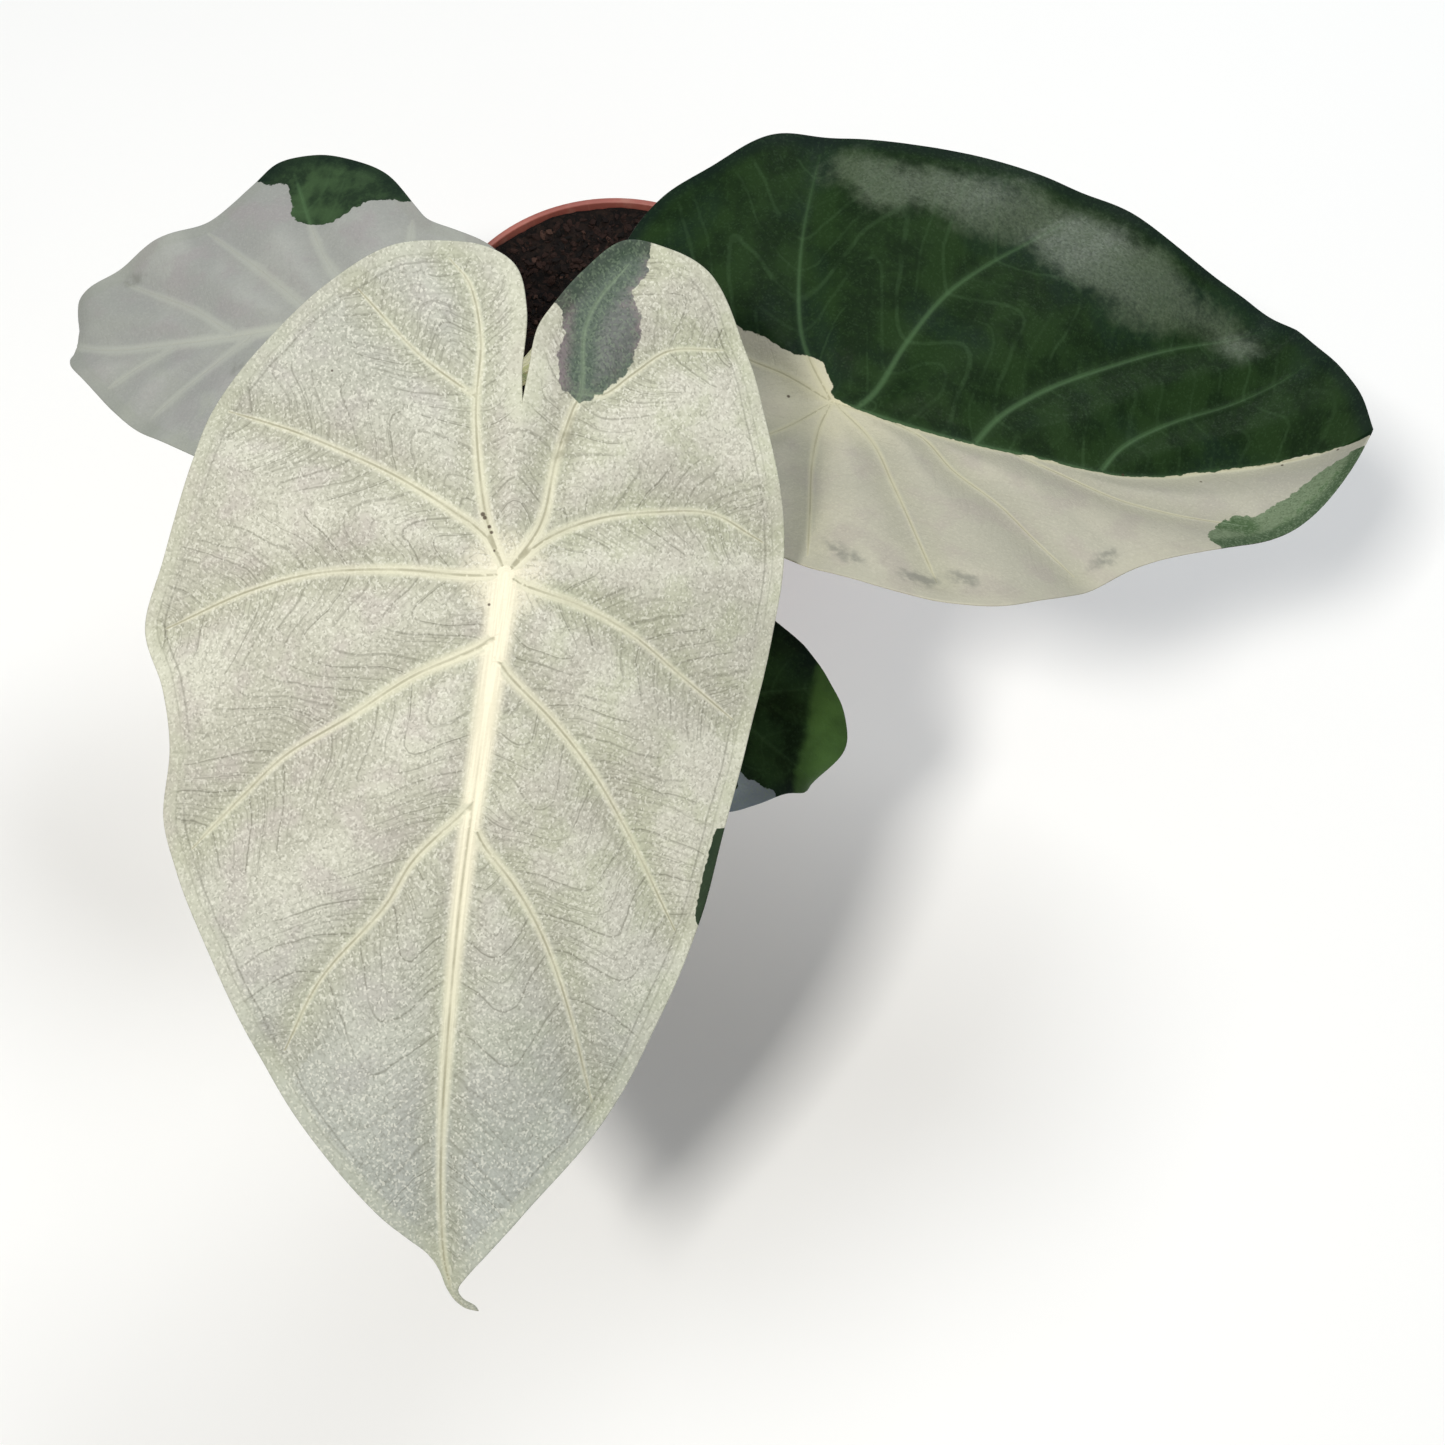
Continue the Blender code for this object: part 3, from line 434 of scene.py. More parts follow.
def onBlade(blade, u, v, lift):       # metres in space for flat millimetres, raised by lift off the sheet
    length, lobe, half = blade["length"], blade["lobe"], blade["halfWidth"]
    middle = np.interp(u, *np.transpose(blade["crease"]))          # the fold runs along this line
    v = v - middle
    flat = np.linspace(-1.3 * lobe, 1.1 * length, 900)
    ahead, behind = np.clip(flat / length, 0, None), np.clip(-flat / lobe, 0, None)
    hooked = np.clip((ahead - blade["hookFrom"]) / (1 - blade["hookFrom"]), 0, None) ** 2
    slopes = np.radians(-blade["droop"] * ahead - blade["hook"] * hooked - blade["lobeRise"] * behind)
    slope = np.interp(u, flat, slopes)
    reach, height = sumTo(u, flat, np.cos(slopes)), sumTo(u, flat, np.sin(slopes))
    across = np.abs(v) / half
    fold, curl = (np.radians(np.where(v < 0, *blade[key][::-1])) for key in ("fold", "curl"))
    side = np.sign(v) * half * (np.sin(fold + curl * across) - np.sin(fold)) / curl
    rise = half * (np.cos(fold) - np.cos(fold + curl * across)) / curl + lift
    along = np.clip(u / length, 0, 1)
    side = side + middle + blade["sway"] * 6.75 * along ** 2 * (1 - along)      # sway is the widest bend
    local = np.stack([reach - rise * np.sin(slope), side, height + rise * np.cos(slope)], axis=-1)
    pose = turn("z", blade["heading"]) @ turn("y", -blade["pitch"]) @ turn("x", blade["roll"])
    return (local @ pose.T + np.array(blade["joint"])) * mm


def outlineGap(points, outline):      # distance to a closed outline, more than 0 inside it
    along = np.roll(outline, -1, axis=0) - outline
    square = (along ** 2).sum(axis=1)
    result = []
    for block in np.array_split(points, len(points) // 2000 + 1):
        away = block[:, None, :] - outline
        share = np.clip((away * along).sum(axis=2) / square, 0, 1)
        nearest = np.linalg.norm(away - share[..., None] * along, axis=2).min(axis=1)
        height = block[:, None, 1]
        spans = (outline[:, 1] > height) != (np.roll(outline[:, 1], -1) > height)
        with np.errstate(divide="ignore", invalid="ignore"):
            cut = outline[:, 0] + along[:, 0] * (height - outline[:, 1]) / along[:, 1]
        inside = (spans & (block[:, None, 0] < cut)).sum(axis=1) % 2 == 1
        result.append(np.where(inside, nearest, -nearest))
    return np.concatenate(result)


def markingPath(outline):
    return smoothPath([*outline, outline[0]], bladeStyle["markingStep"])


def bladeVeins(blade, margin):        # each vein's points and widths, and the guide for its fine veins
    veins, step = [], bladeStyle["veinStep"]
    for broad, slim, points in [blade["midrib"], *blade["veins"]]:
        path = smoothPath(points, step)
        steps = np.arange(step, bladeStyle["veinBeyond"], step)[:, None]
        beyond = path[-1] + unit(path[-1] - path[-4]) * steps
        inside = np.append(outlineGap(beyond, margin) > bladeStyle["veinEnd"], False)
        guide = np.vstack([path, beyond])
        path = np.vstack([path, beyond[:inside.argmin()]])      # it runs on to the vein along the margin
        share = runAlong(path) / runAlong(path)[-1]
        width = (broad + (slim - broad) * share ** 0.8) * np.clip((1 - share) / 0.08, 0.5, 1)
        run = runAlong(guide) + np.hypot(*points[0])
        veins.append({"path": path, "width": width, "guide": guide, "run": run})
    return veins


def bladeMargin(blade, step):
    plus = smoothPath([blade["slot"], *blade["marginPlus"], blade["tip"]], step)
    minus = smoothPath([blade["slot"], *blade["marginMinus"], blade["tip"]], step)
    return np.vstack([plus, minus[-2:0:-1]])


def sideRow(path, offset):
    ahead = unit(np.gradient(path, axis=0))
    return path + np.column_stack([-ahead[:, 1], ahead[:, 0]]) * np.reshape(offset, (-1, 1))


def flatNet(blade, veins, margin):    # points along margins, veins and colour edges, joined by triangles
    clear = bladeStyle["clear"]
    rows = [(clear["vein"], sideRow(vein["path"], share * vein["width"])[::2])
            for vein in veins for share in bladeStyle["veinRows"]]
    rows += [(clear["margin"], sideRow(margin, inset)) for inset in bladeStyle["marginRows"]]
    around = np.linspace(0, 2 * pi, 10, endpoint=False)
    circle = np.column_stack([np.cos(around), np.sin(around)])
    rows += [(clear["speck"], (u, v) + share * radius * circle)
             for u, v, radius in blade["specks"] for share in bladeStyle["speckRows"]]
    rows += [(clear["marking"], markingPath(outline)) for kind in markings for outline in blade[kind]]
    step = bladeStyle["filler"]
    low, high = margin.min(axis=0), margin.max(axis=0)
    u, v = np.meshgrid(np.arange(low[0], high[0], step), np.arange(low[1], high[1], step * 0.866))
    u = u + (np.arange(len(u)) % 2)[:, None] * step / 2
    rows.append((step * clear["filler"], np.column_stack([u.ravel(), v.ravel()])))
    kept = margin
    for apart, row in rows:
        row = row[outlineGap(row, margin) > clear["outline"]]
        tree = treeOf(kept)
        row = row[[tree.find((x, y, 0))[2] > apart for x, y in row]]
        kept = np.vstack([kept, row])
    loop = [(i, (i + 1) % len(margin)) for i in range(len(margin))]
    spots, _, faces, *_ = delaunay_2d_cdt([Vector(p) for p in kept], loop, [], 1, 1e-4)
    return np.array([tuple(p) for p in spots]), np.array([tuple(f) for f in faces])


def nearestOn(path, flat):            # the path's nearest point to each flat point, and its distance
    apart = np.linalg.norm(flat[:, None, :] - path, axis=2)
    return apart.argmin(axis=1), apart.min(axis=1)


def flatFields(blade, veins, margin, flat):   # what the shape and the finish read at each flat point
    midrib, found = veins[0]["path"], []
    fade = bladeStyle["rootFade"] * blade["midrib"][0]
    for vein in veins:
        nearest, gap = nearestOn(vein["path"], flat)
        # a vein that starts on the midrib begins at the edge of its band
        joins = vein is not veins[0] and np.linalg.norm(midrib - vein["path"][0], axis=1).min() < 3
        root = np.clip(1 - nearest * bladeStyle["veinStep"] / fade, 0, 1) if joins else 0
        width = vein["width"][nearest]
        nearest, away = nearestOn(vein["guide"], flat)
        found.append((gap + 1.2 * root * width, width, away, vein["run"][nearest]))
    gaps, widths, aways, runs = np.transpose(found, (1, 0, 2))
    weight = 1 / (aways + 0.4) ** 3
    run = (weight * runs).sum(axis=0) / weight.sum(axis=0)
    first, second = np.sort(aways, axis=0)[:2]
    middle = -5 * np.log(np.exp(-first / 5) + np.exp(-second / 5))     # soft where the halves of a panel meet
    # a wide vein beats a slim one beside it, so that bands join cleanly
    top, pick = (gaps / widths).argmin(axis=0), np.arange(len(flat))
    fields = {"gap": gaps[top, pick], "band": widths[top, pick], "near": gaps.min(axis=0),
              "flow": run - 0.5 * middle - 0.02 * middle ** 2, "rim": np.maximum(outlineGap(flat, margin), 0)}
    for kind in markings:
        edges = [outlineGap(flat, markingPath(outline)[:-1]) for outline in blade[kind]]
        fields[kind] = np.clip(np.max(edges, axis=0), -9, 9) if edges else np.full(len(flat), -9.0)
    specks = [np.hypot(flat[:, 0] - u, flat[:, 1] - v) - radius for u, v, radius in blade["specks"]]
    fields["speck"] = np.clip(np.min(specks, axis=0), -1, 3) if specks else np.full(len(flat), 3.0)
    return fields


def steepness(flat, faces, values):   # how much the values change for each millimetre
    a, b, c = (flat[faces[:, i]] for i in range(3))
    ab, ac = b - a, c - a
    rise, climb = values[faces[:, 1]] - values[faces[:, 0]], values[faces[:, 2]] - values[faces[:, 0]]
    area = np.abs(ab[:, 0] * ac[:, 1] - ab[:, 1] * ac[:, 0])
    slope = np.hypot(rise * ac[:, 1] - climb * ab[:, 1], climb * ab[:, 0] - rise * ac[:, 0]) / area
    total, weight = (sumAtCorners(len(flat), faces, amount) for amount in (slope * area, area))
    return np.clip(total / weight, 0.5, 6)


def upperFace(blade, flat, fields, ridge):    # soft panels between the veins and a waved margin
    u, v = flat[:, 0], flat[:, 1]
    panel = 1 - np.exp(-(fields["near"] / bladeStyle["veinReach"]) ** 2)
    flatten = np.clip(np.hypot(u, v) / bladeStyle["jointFlat"], 0, 1) ** 2
    margin = bladeMargin(blade, bladeStyle["edgeStep"])
    tree = treeOf(margin)
    around = np.array([tree.find((x, y, 0))[1] for x, y in flat]) / len(margin)
    out = np.clip(1 - fields["rim"] / (0.5 * blade["halfWidth"]), 0, 1) ** 2
    waves = sum(size * np.sin(2 * pi * count * around + shift) for count, size, shift in bladeStyle["waves"])
    outer = np.clip(1 - fields["rim"] / bladeStyle["dropFrom"], 0, 1) ** 2
    drop = blade["edgeDrop"] * (outer * np.clip(v / bladeStyle["dropFade"], 0, 1))
    lift = bladeStyle["veinDepth"] * panel * flatten + ridge + blade["marginWave"] * out * waves - drop
    return onBlade(blade, u, v, lift)


def buildBlade(name, blade, material):
    margin = bladeMargin(blade, bladeStyle["edgeStep"])
    if np.sum(margin[:, 0] * np.roll(margin[:, 1], -1) - margin[:, 1] * np.roll(margin[:, 0], -1)) < 0:
        margin = margin[::-1]         # round the leaf with its inside on the left
    veins = bladeVeins(blade, margin)
    flat, faces = flatNet(blade, veins, margin)
    corners = flat[faces]
    area = np.cross(corners[:, 1] - corners[:, 0], corners[:, 2] - corners[:, 0])
    faces = np.where(area[:, None] < 0, faces[:, ::-1], faces)
    fields = flatFields(blade, veins, margin, flat)
    fields["steep"] = steepness(flat, faces, fields["flow"])
    share = fields["gap"] / fields["band"]
    ridge = np.exp(-((share - bladeStyle["ridgeAt"]) / bladeStyle["ridgeWidth"]) ** 2)
    ridge = bladeStyle["ridge"] * ridge * np.clip(fields["band"] / 3, 0, 1)
    upper = upperFace(blade, flat, fields, ridge)

    # the underside: a thinner skin at the margin, ribs under the veins
    side = np.cross(upper[faces[:, 1]] - upper[faces[:, 0]], upper[faces[:, 2]] - upper[faces[:, 0]])
    normal = unit(sumAtCorners(len(flat), faces, side))
    rimShare = np.clip(fields["rim"] / bladeStyle["rimFade"], 0, 1)
    thick = np.interp(rimShare, (0, 1), (bladeStyle["rimThickness"], bladeStyle["thickness"]))
    rib = np.interp(fields["band"], (1, 5), (bladeStyle["sideRib"], bladeStyle["midribRib"])) * rimShare
    thick += ridge + rib * np.exp(-(share / bladeStyle["ribWidth"]) ** 2)
    lower = upper - normal * (thick * mm)[:, None]

    # the rounded rim joins both faces
    edges = np.vstack([faces[:, [0, 1]], faces[:, [1, 2]], faces[:, [2, 0]]])
    _, first, uses = np.unique(np.sort(edges, axis=1), axis=0, return_index=True, return_counts=True)
    a, b = edges[np.sort(first[uses == 1])].T
    aside = unit(np.cross(upper[b] - upper[a], normal[a] + normal[b]))
    outward = np.zeros_like(upper)
    for ends in (a, b):
        np.add.at(outward, ends, aside)
    rim = np.unique(a)
    middle = (upper[rim] + lower[rim]) / 2 + unit(outward[rim]) * bladeStyle["rimRound"] * mm
    count = len(flat)
    c, d = (2 * count + np.searchsorted(rim, ends) for ends in (a, b))
    walls = np.transpose([(b, a, c), (b, c, d), (d, c, a + count), (d, a + count, b + count)], (2, 0, 1))
    allFaces = np.vstack([faces, faces[:, ::-1] + count, walls.reshape(-1, 3)])
    item = meshObject(f"blade_{name}_skin", np.vstack([upper, lower, middle]), allFaces.tolist(), material)
    below = np.concatenate([np.arange(count), np.arange(count), rim])     # the flat point of each point
    for key in bladeFields:
        writeAttribute(item, key, fields[key][below])
    under = np.repeat((0.0, 1.0, 0.0), (count, count, len(rim)))
    writeAttribute(item, "under", under)
    writeAttribute(item, "flat", np.column_stack([flat[below], under * 40]))
    print(f"blade {name}: {len(allFaces)} triangles")
    return item


# The finish of a leaf: colours on screen, 0 to 255, and strengths. Each look changes some of these values.

leafBase = {
    "creamA": (188, 187, 171), "creamB": (204, 203, 187), "creamRose": (190, 184, 175),
    "creamValley": (166, 166, 146), "creamOlive": (179, 184, 153), "creamCool": (162, 168, 163),
    "fleck": (236, 235, 221), "line": (90, 88, 74), "rim": (192, 196, 168), "groove": (136, 132, 104),
    "veinSlim": (224, 221, 195), "veinBroad": (247, 240, 214), "stain": (118, 119, 112),
    "speck": (62, 46, 34), "deep": (17, 35, 13), "mid": (29, 50, 21), "blue": (20, 38, 27),
    "greenVein": (82, 112, 76), "greenRim": (13, 27, 24), "mistMain": (110, 113, 110),
    "mistTeal": (86, 101, 88), "mistEdge": (134, 122, 124), "mistRim": (44, 64, 46),
    "mistVein": (134, 152, 124), "underCream": (196, 189, 164), "underCreamVein": (214, 206, 176),
    "underGreen": (84, 52, 60), "underGreenVein": (142, 120, 104), "wax": None, "paleEnd": None,
    "lineStrength": 0.52, "grooveStrength": 0.6, "sparkle": 0.43, "jag": 0.45, "starReach": 12,
}
leafLooks = {
    "creamLook": {
        "deep": (38, 52, 36), "mid": (60, 74, 52), "greenRim": (46, 60, 44), "stain": (124, 122, 100),
    },
    "halfGreenLook": {
        "creamA": (176, 174, 158), "creamB": (184, 181, 164), "creamRose": (172, 166, 155),
        "creamValley": (166, 164, 146), "creamOlive": (176, 177, 150), "creamCool": (162, 161, 149),
        "fleck": (214, 210, 190), "line": (140, 136, 118), "rim": (180, 178, 158), "groove": (144, 140, 110),
        "veinSlim": (200, 196, 166), "veinBroad": (214, 209, 180), "wax": (90, 103, 79),
        "mistMain": (84, 108, 74), "mistTeal": (62, 88, 52), "mistEdge": (116, 130, 104),
        "mistRim": (44, 68, 42),
        # the pale star at the joint reaches wider on this leaf: painted light over the shade near the joint
        "lineStrength": 0.12, "grooveStrength": 0.45, "sparkle": 0.14, "jag": 0.4, "starReach": 24,
    },
    # the left leaf: cream, veins and greens greyer and darker than the front leaf's, painted shade as that
    # leaf lies in shade
    "greyCreamLook": {
        "creamA": (150, 152, 148), "creamB": (161, 163, 158), "creamRose": (152, 148, 148),
        "creamValley": (146, 147, 144), "creamOlive": (158, 162, 150), "creamCool": (150, 154, 144),
        "fleck": (176, 178, 172), "line": (120, 122, 114), "rim": (138, 144, 130), "groove": (160, 160, 146),
        "veinSlim": (167, 170, 162), "veinBroad": (181, 184, 171),
        "deep": (34, 50, 34), "mid": (58, 80, 52), "blue": (56, 64, 58),
        "lineStrength": 0.08, "grooveStrength": 0.25, "sparkle": 0.16, "jag": 0.8, "starReach": 9,
    },
    "greenLook": {
        "mistMain": (150, 160, 172), "mistTeal": (142, 154, 162), "mistEdge": (130, 138, 148),
        "mistRim": (118, 128, 136), "mid": (36, 60, 30), "paleEnd": (70, 100, 50),
    },
}
leafGrain = {     # sizes in mm
    "wide": 30, "middling": 11, "small": 2.4, "fine": 1.0, "cell": 0.46, "net": 2.2,
    "threads": (5.2, 0.2, 0.0), "fineThreads": (1.9, 0.16, 31.0), "greenThreads": (9.0, 0.4, 11.0),
    "rimLine": 4.9, "innerLine": 3.0, "specular": 0.08, "coatRoughness": 0.45,
}


def leafRecipe(changes):
    look, grain = SimpleNamespace(**{**leafBase, **changes}), SimpleNamespace(**leafGrain)

    def recipe(nodes):
        flat, under = nodes.attribute("flat", "Vector"), nodes.attribute("under")
        gap, band, flow, steep, rim, green, mist, stain, waxAndSheen, speck = map(nodes.attribute, bladeFields)
        ahead, aside = nodes.part(flat, "X"), nodes.part(flat, "Y")
        share = gap / band

        def cloud(size, detail=2.0):
            return nodes.cloud(flat, size, detail, "2D")

        wide, middling = cloud(grain.wide), cloud(grain.middling, 3)
        small, fine = cloud(grain.small, 3), cloud(grain.fine)
        cell = nodes.cells(flat, grain.cell, "2D")

        # fine veins: threads leave the main veins, bend outwards and stop at the vein along the margin
        run = flow + (cloud(14, 1) - 0.5) * 4.0 + (small - 0.5) * 0.3
        beat = nodes.add("ShaderNodeTexNoise", {"noise_dimensions": "1D"},
                         {"W": run, "Scale": 0.11, "Detail": 1.0}, "Fac")
        run = run + (beat - 0.5) * 4         # uneven spaces between the threads

        def threads(spacing, half, shift):
            phase = (run + shift) / spacing
            whole = phase.floor()
            off = abs(phase - whole - 0.5) * spacing / steep
            chance = nodes.add("ShaderNodeTexWhiteNoise", {"noise_dimensions": "1D"},
                               {"W": whole + shift}, "Value")
            return off.fall(half * 0.3, half * 1.7) * (chance * 0.7 + 0.3)

        warp = nodes.add("ShaderNodeTexNoise", {"noise_dimensions": "2D"},
                         {"Vector": flat, "Scale": 0.45, "Detail": 2.0}, "Color")
        edge = nodes.add("ShaderNodeTexVoronoi", {"feature": "DISTANCE_TO_EDGE", "voronoi_dimensions": "2D"},
                         {"Vector": nodes.vectors("MULTIPLY_ADD", warp, (4.0, 4.0, 0.0), flat),
                          "Scale": 1 / grain.net}, "Distance")
        net = (grain.net * edge).fall(0.04, 0.28)
        away = gap + (middling - 0.5) * 16
        lines = threads(*grain.threads) * (away.fall(12.0, 30.0) * 0.9 + 0.1)
        lines = lines.atLeast(threads(*grain.fineThreads) * (away.fall(4.0, 20.0) * 0.6 + 0.05))
        lines = lines.atLeast(net * (small.rise(0.35, 0.6) * 0.3 + 0.15)) * (rim.rise(2.2, 3.6) * 0.7 + 0.3)

        # main veins: a pale band with soft lengthwise streaks and a thin dark groove, its darkness partly
        # painted shade in the groove
        inBand, softBand = share.fall(0.16, 0.74), share.fall(0.15, 0.9)
        along = nodes.add("ShaderNodeCombineXYZ", inputs=(gap * 1.9, flow * 0.05, 0.0))
        streak = nodes.cloud(along, 1.0, 2, "2D").rise(0.40, 0.62)
        groove = gap.fall(0.03, 0.24 + band * 0.08) * band.fall(4.4, 6.0)
        groove = groove * (middling.rise(0.3, 0.6) * 0.5 + 0.5)
        lines = lines * (1 - inBand)
        vein = nodes.layered(look.veinSlim, (band.rise(2.6, 5.6), look.veinBroad),
                             (streak * 0.16, look.groove))

        # cream tissue: soft patches, cooler at the tip, painted shade on one lobe, an olive tint near the
        # veins that is partly painted shade, painted shade in the valleys beside the veins and a lined rim
        # cooler tone towards the tip; the part on the lobe behind the joint is painted shade
        coolTipAndLobeShade = (ahead.rise(50, 150) * 0.75).atLeast(ahead.fall(-55, -5) * aside.fall(-20, 5) * 0.35)
        valleyShade = share.rise(0.5, 0.9) * (gap + (middling - 0.5) * 5).fall(2.5, 8.0)
        # a pale star round the joint; on the right leaf it reaches wider, painted light over the shade near
        # its joint
        star = (ahead * ahead + aside * aside).fall(0.1 * look.starReach ** 2, look.starReach ** 2)
        inset = rim + (middling - 0.5) * 1.2
        rimLine = abs(inset - grain.rimLine).fall(0.05, 0.4)
        rimLine = rimLine.atLeast(abs(inset - grain.innerLine).fall(0.05, 0.36) * 0.6)
        rimLine = rimLine * (wide.rise(0.3, 0.6) * 0.6 + 0.25) * abs(aside).rise(10, 24)
        cream = nodes.layered(
            look.creamA, (wide.rise(0.4, 0.6), look.creamB),
            (middling.rise(0.45, 0.7) * (aside.fall(-30, 30) * 0.4 + 0.3), look.creamRose),
            (middling.fall(0.34, 0.52) * aside.rise(-30, 30) * 0.35, look.creamOlive),
            (coolTipAndLobeShade, look.creamCool), (gap.fall(0.0, 6.5) * wide.rise(0.35, 0.6) * 0.4, look.creamOlive),
            (valleyShade * 0.35, look.creamValley), (star * 0.52, look.veinBroad),
            # the bright specks here are painted glints, light caught by the skin's cells; the dark specks
            # beside them are grain
            (lines * look.lineStrength, look.line), (cell.rise(0.66, 1.0) * look.sparkle, look.fleck),
            (cell.fall(0.0, 0.3) * look.sparkle * 0.6, look.line), (rim.fall(2.6, 4.8) * 0.22, look.rim),
            (rimLine * 0.8 * look.lineStrength, look.line),
            (inBand * (band.rise(1.2, 4.4) * 0.5 + 0.45), vein), (groove * look.grooveStrength, look.groove),
            ((stain + (small - 0.5) * 2.4).rise(-1.6, 1.4) * small.rise(0.2, 0.6) * 0.62, look.stain))

        # green tissue, with its ragged edge
        greenNet = threads(*grain.greenThreads) * rim.rise(4.0, 7.0) * middling.rise(0.3, 0.5)
        leafGreen = nodes.layered(
            look.deep, (middling.rise(0.36, 0.64), look.mid), (wide.rise(0.5, 0.68) * 0.6, look.blue),
            (greenNet * 0.13, look.greenVein), (small.rise(0.45, 0.7) * 0.4, look.mid),
            (share.fall(0.02, 0.42) * band.rise(0.6, 2.6) * 0.42 + softBand * 0.08, look.greenVein))
        # painted sheen: inside the band on the far side the green is tinted paler grey-green where it catches
        # the light; the coat there is glossier too
        if look.wax:
            waxAndSheenHere = (waxAndSheen + (middling - 0.5) * 9 + (small - 0.5) * 4).rise(-3.0, 5.0) * (1 - under)
            leafGreen = nodes.layered(leafGreen, (waxAndSheenHere * (fine * 0.5 + cell * 0.12 + 0.08), look.wax))
        leafGreen = nodes.layered(leafGreen, (rim.fall(1.0, 5.0) * 0.7, look.greenRim))
        # painted light: a paler green strip across the end of the low leaf, where light falls past the front
        # leaf's shade
        if look.paleEnd:
            end = (ahead * 0.92 + aside * 0.39 + (small - 0.5) * 1.5).rise(44.4, 47.2)
            leafGreen = nodes.layered(leafGreen, (end * (middling.rise(0.3, 0.7) * 0.3 + 0.55), look.paleEnd))
        leafGreen = nodes.layered(leafGreen, (cell.rise(0.7, 1.0) * 0.07, look.greenVein))
        jagged = ((small - 0.5) * 2.8 + (middling - 0.5) * 4) * look.jag
        greenHere = (green + jagged).rise(-0.1, 0.12)

        # grey-green areas, paler at their edge
        misty = nodes.layered(
            look.mistMain,
            ((mist + (small - 0.5) * 7 + (aside - 12) * 0.15).fall(0.6, 4.2) * 0.8, look.mistEdge),
            (gap.fall(1.5, 5.0) * 0.75, look.mistTeal), (rim.fall(2.0, 5.0) * 0.7, look.mistRim),
            (lines * 0.25, look.mistRim), (cell.rise(0.5, 1.0) * 0.3, look.mistVein),
            (cell.fall(0.0, 0.35) * 0.3, look.mistRim), (share.fall(0.05, 0.5) * 0.4, look.mistVein))
        mistHere = (mist + (small - 0.5) * 2.4 + (middling - 0.5) * 3).rise(-0.15, 0.15)

        underCream = nodes.layered(look.underCream, (softBand * 0.8, look.underCreamVein),
                                   (lines * 0.3 * look.lineStrength, look.line))
        underGreen = nodes.layered(look.underGreen, (softBand * 0.8, look.underGreenVein))
        upper = nodes.layered(cream, (greenHere, leafGreen), (mistHere, misty))
        lower = nodes.layered(underCream, (greenHere.atLeast(mistHere), underGreen))
        colour = nodes.layered(upper, (under, lower),
                               (speck.fall(-0.15, 0.2) * 0.85 * (1 - under), look.speck))
        relief = 0.5 + (fine - 0.5) * 0.7 + cell * 0.28 - groove * 0.9 - lines * 0.3
        rough = 0.58 + (fine - 0.5) * 0.2 - cell * 0.1 + under * 0.08
        finish = {"Base Color": colour, "Roughness": rough, "Normal": nodes.bump(relief, 0.5, 0.2 * mm)}
        if look.wax:
            finish["Coat Weight"] = waxAndSheenHere * (cell * 0.4 + 0.45)
        return finish

    return recipe


for name, blade in blades.items():
    leafSkin = makeMaterial(f"leafSkin_{name}", leafRecipe(leafLooks[blade["look"]]),
                            {"Specular IOR Level": leafGrain["specular"],
                             "Coat Roughness": leafGrain["coatRoughness"]})
    piece = buildBlade(name, blade, leafSkin)
    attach(piece, "root")
    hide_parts(f"blade_{name}")


# Stalks: round, thick and winged at the crown, slim under the blade

stalkStyle = {
    "footRadius": 4.2, "footSwell": 1.9, "footReach": 16, "tipRadius": 2.6, "tipSwell": 1.5, "tipReach": 3.5,
    "sides": 28, "step": 1.6, "sheath": 0.30, "sheathFade": 0.12, "wings": 0.42, "channel": 0.30,
    "rootOut": 2.5, "rootDown": 24, "inset": 4, "root": 8, "leaveOut": 9, "leaveUp": 14,
    "archAlong": 0.42, "archUp": 0.62, "neckDrop": 14, "neckBack": 5, "below": 1.3,
}


def stalkPath(blade):
    corner = onBlade(blade, np.array([0.0, 1.0, 0.0]), np.array([0.0, 0.0, 1.0]), 0.0) / mm
    normal = unit(np.cross(corner[1] - corner[0], corner[2] - corner[0]))
    azimuth, height = blade["foot"]
    outward = np.array([cos(radians(azimuth)), sin(radians(azimuth)), 0.0])
    up, joint = np.array([0.0, 0.0, 1.0]), np.array(blade["joint"], dtype=float)
    foot = outward * stalkStyle["inset"] + up * (height - stalkStyle["root"])
    leave = foot + outward * stalkStyle["leaveOut"] + up * stalkStyle["leaveUp"]
    rise = joint[2] - leave[2]
    toward = joint - leave - up * rise
    arch = leave + toward * stalkStyle["archAlong"] + up * rise * stalkStyle["archUp"] + blade["bow"]
    neck = joint - normal * stalkStyle["neckDrop"] - unit(toward) * stalkStyle["neckBack"]
    end = joint - normal * stalkStyle["below"]
    root = outward * stalkStyle["rootOut"] + up * (height - stalkStyle["rootDown"])
    return smoothPath([root, foot, leave, arch, neck, end], stalkStyle["step"])


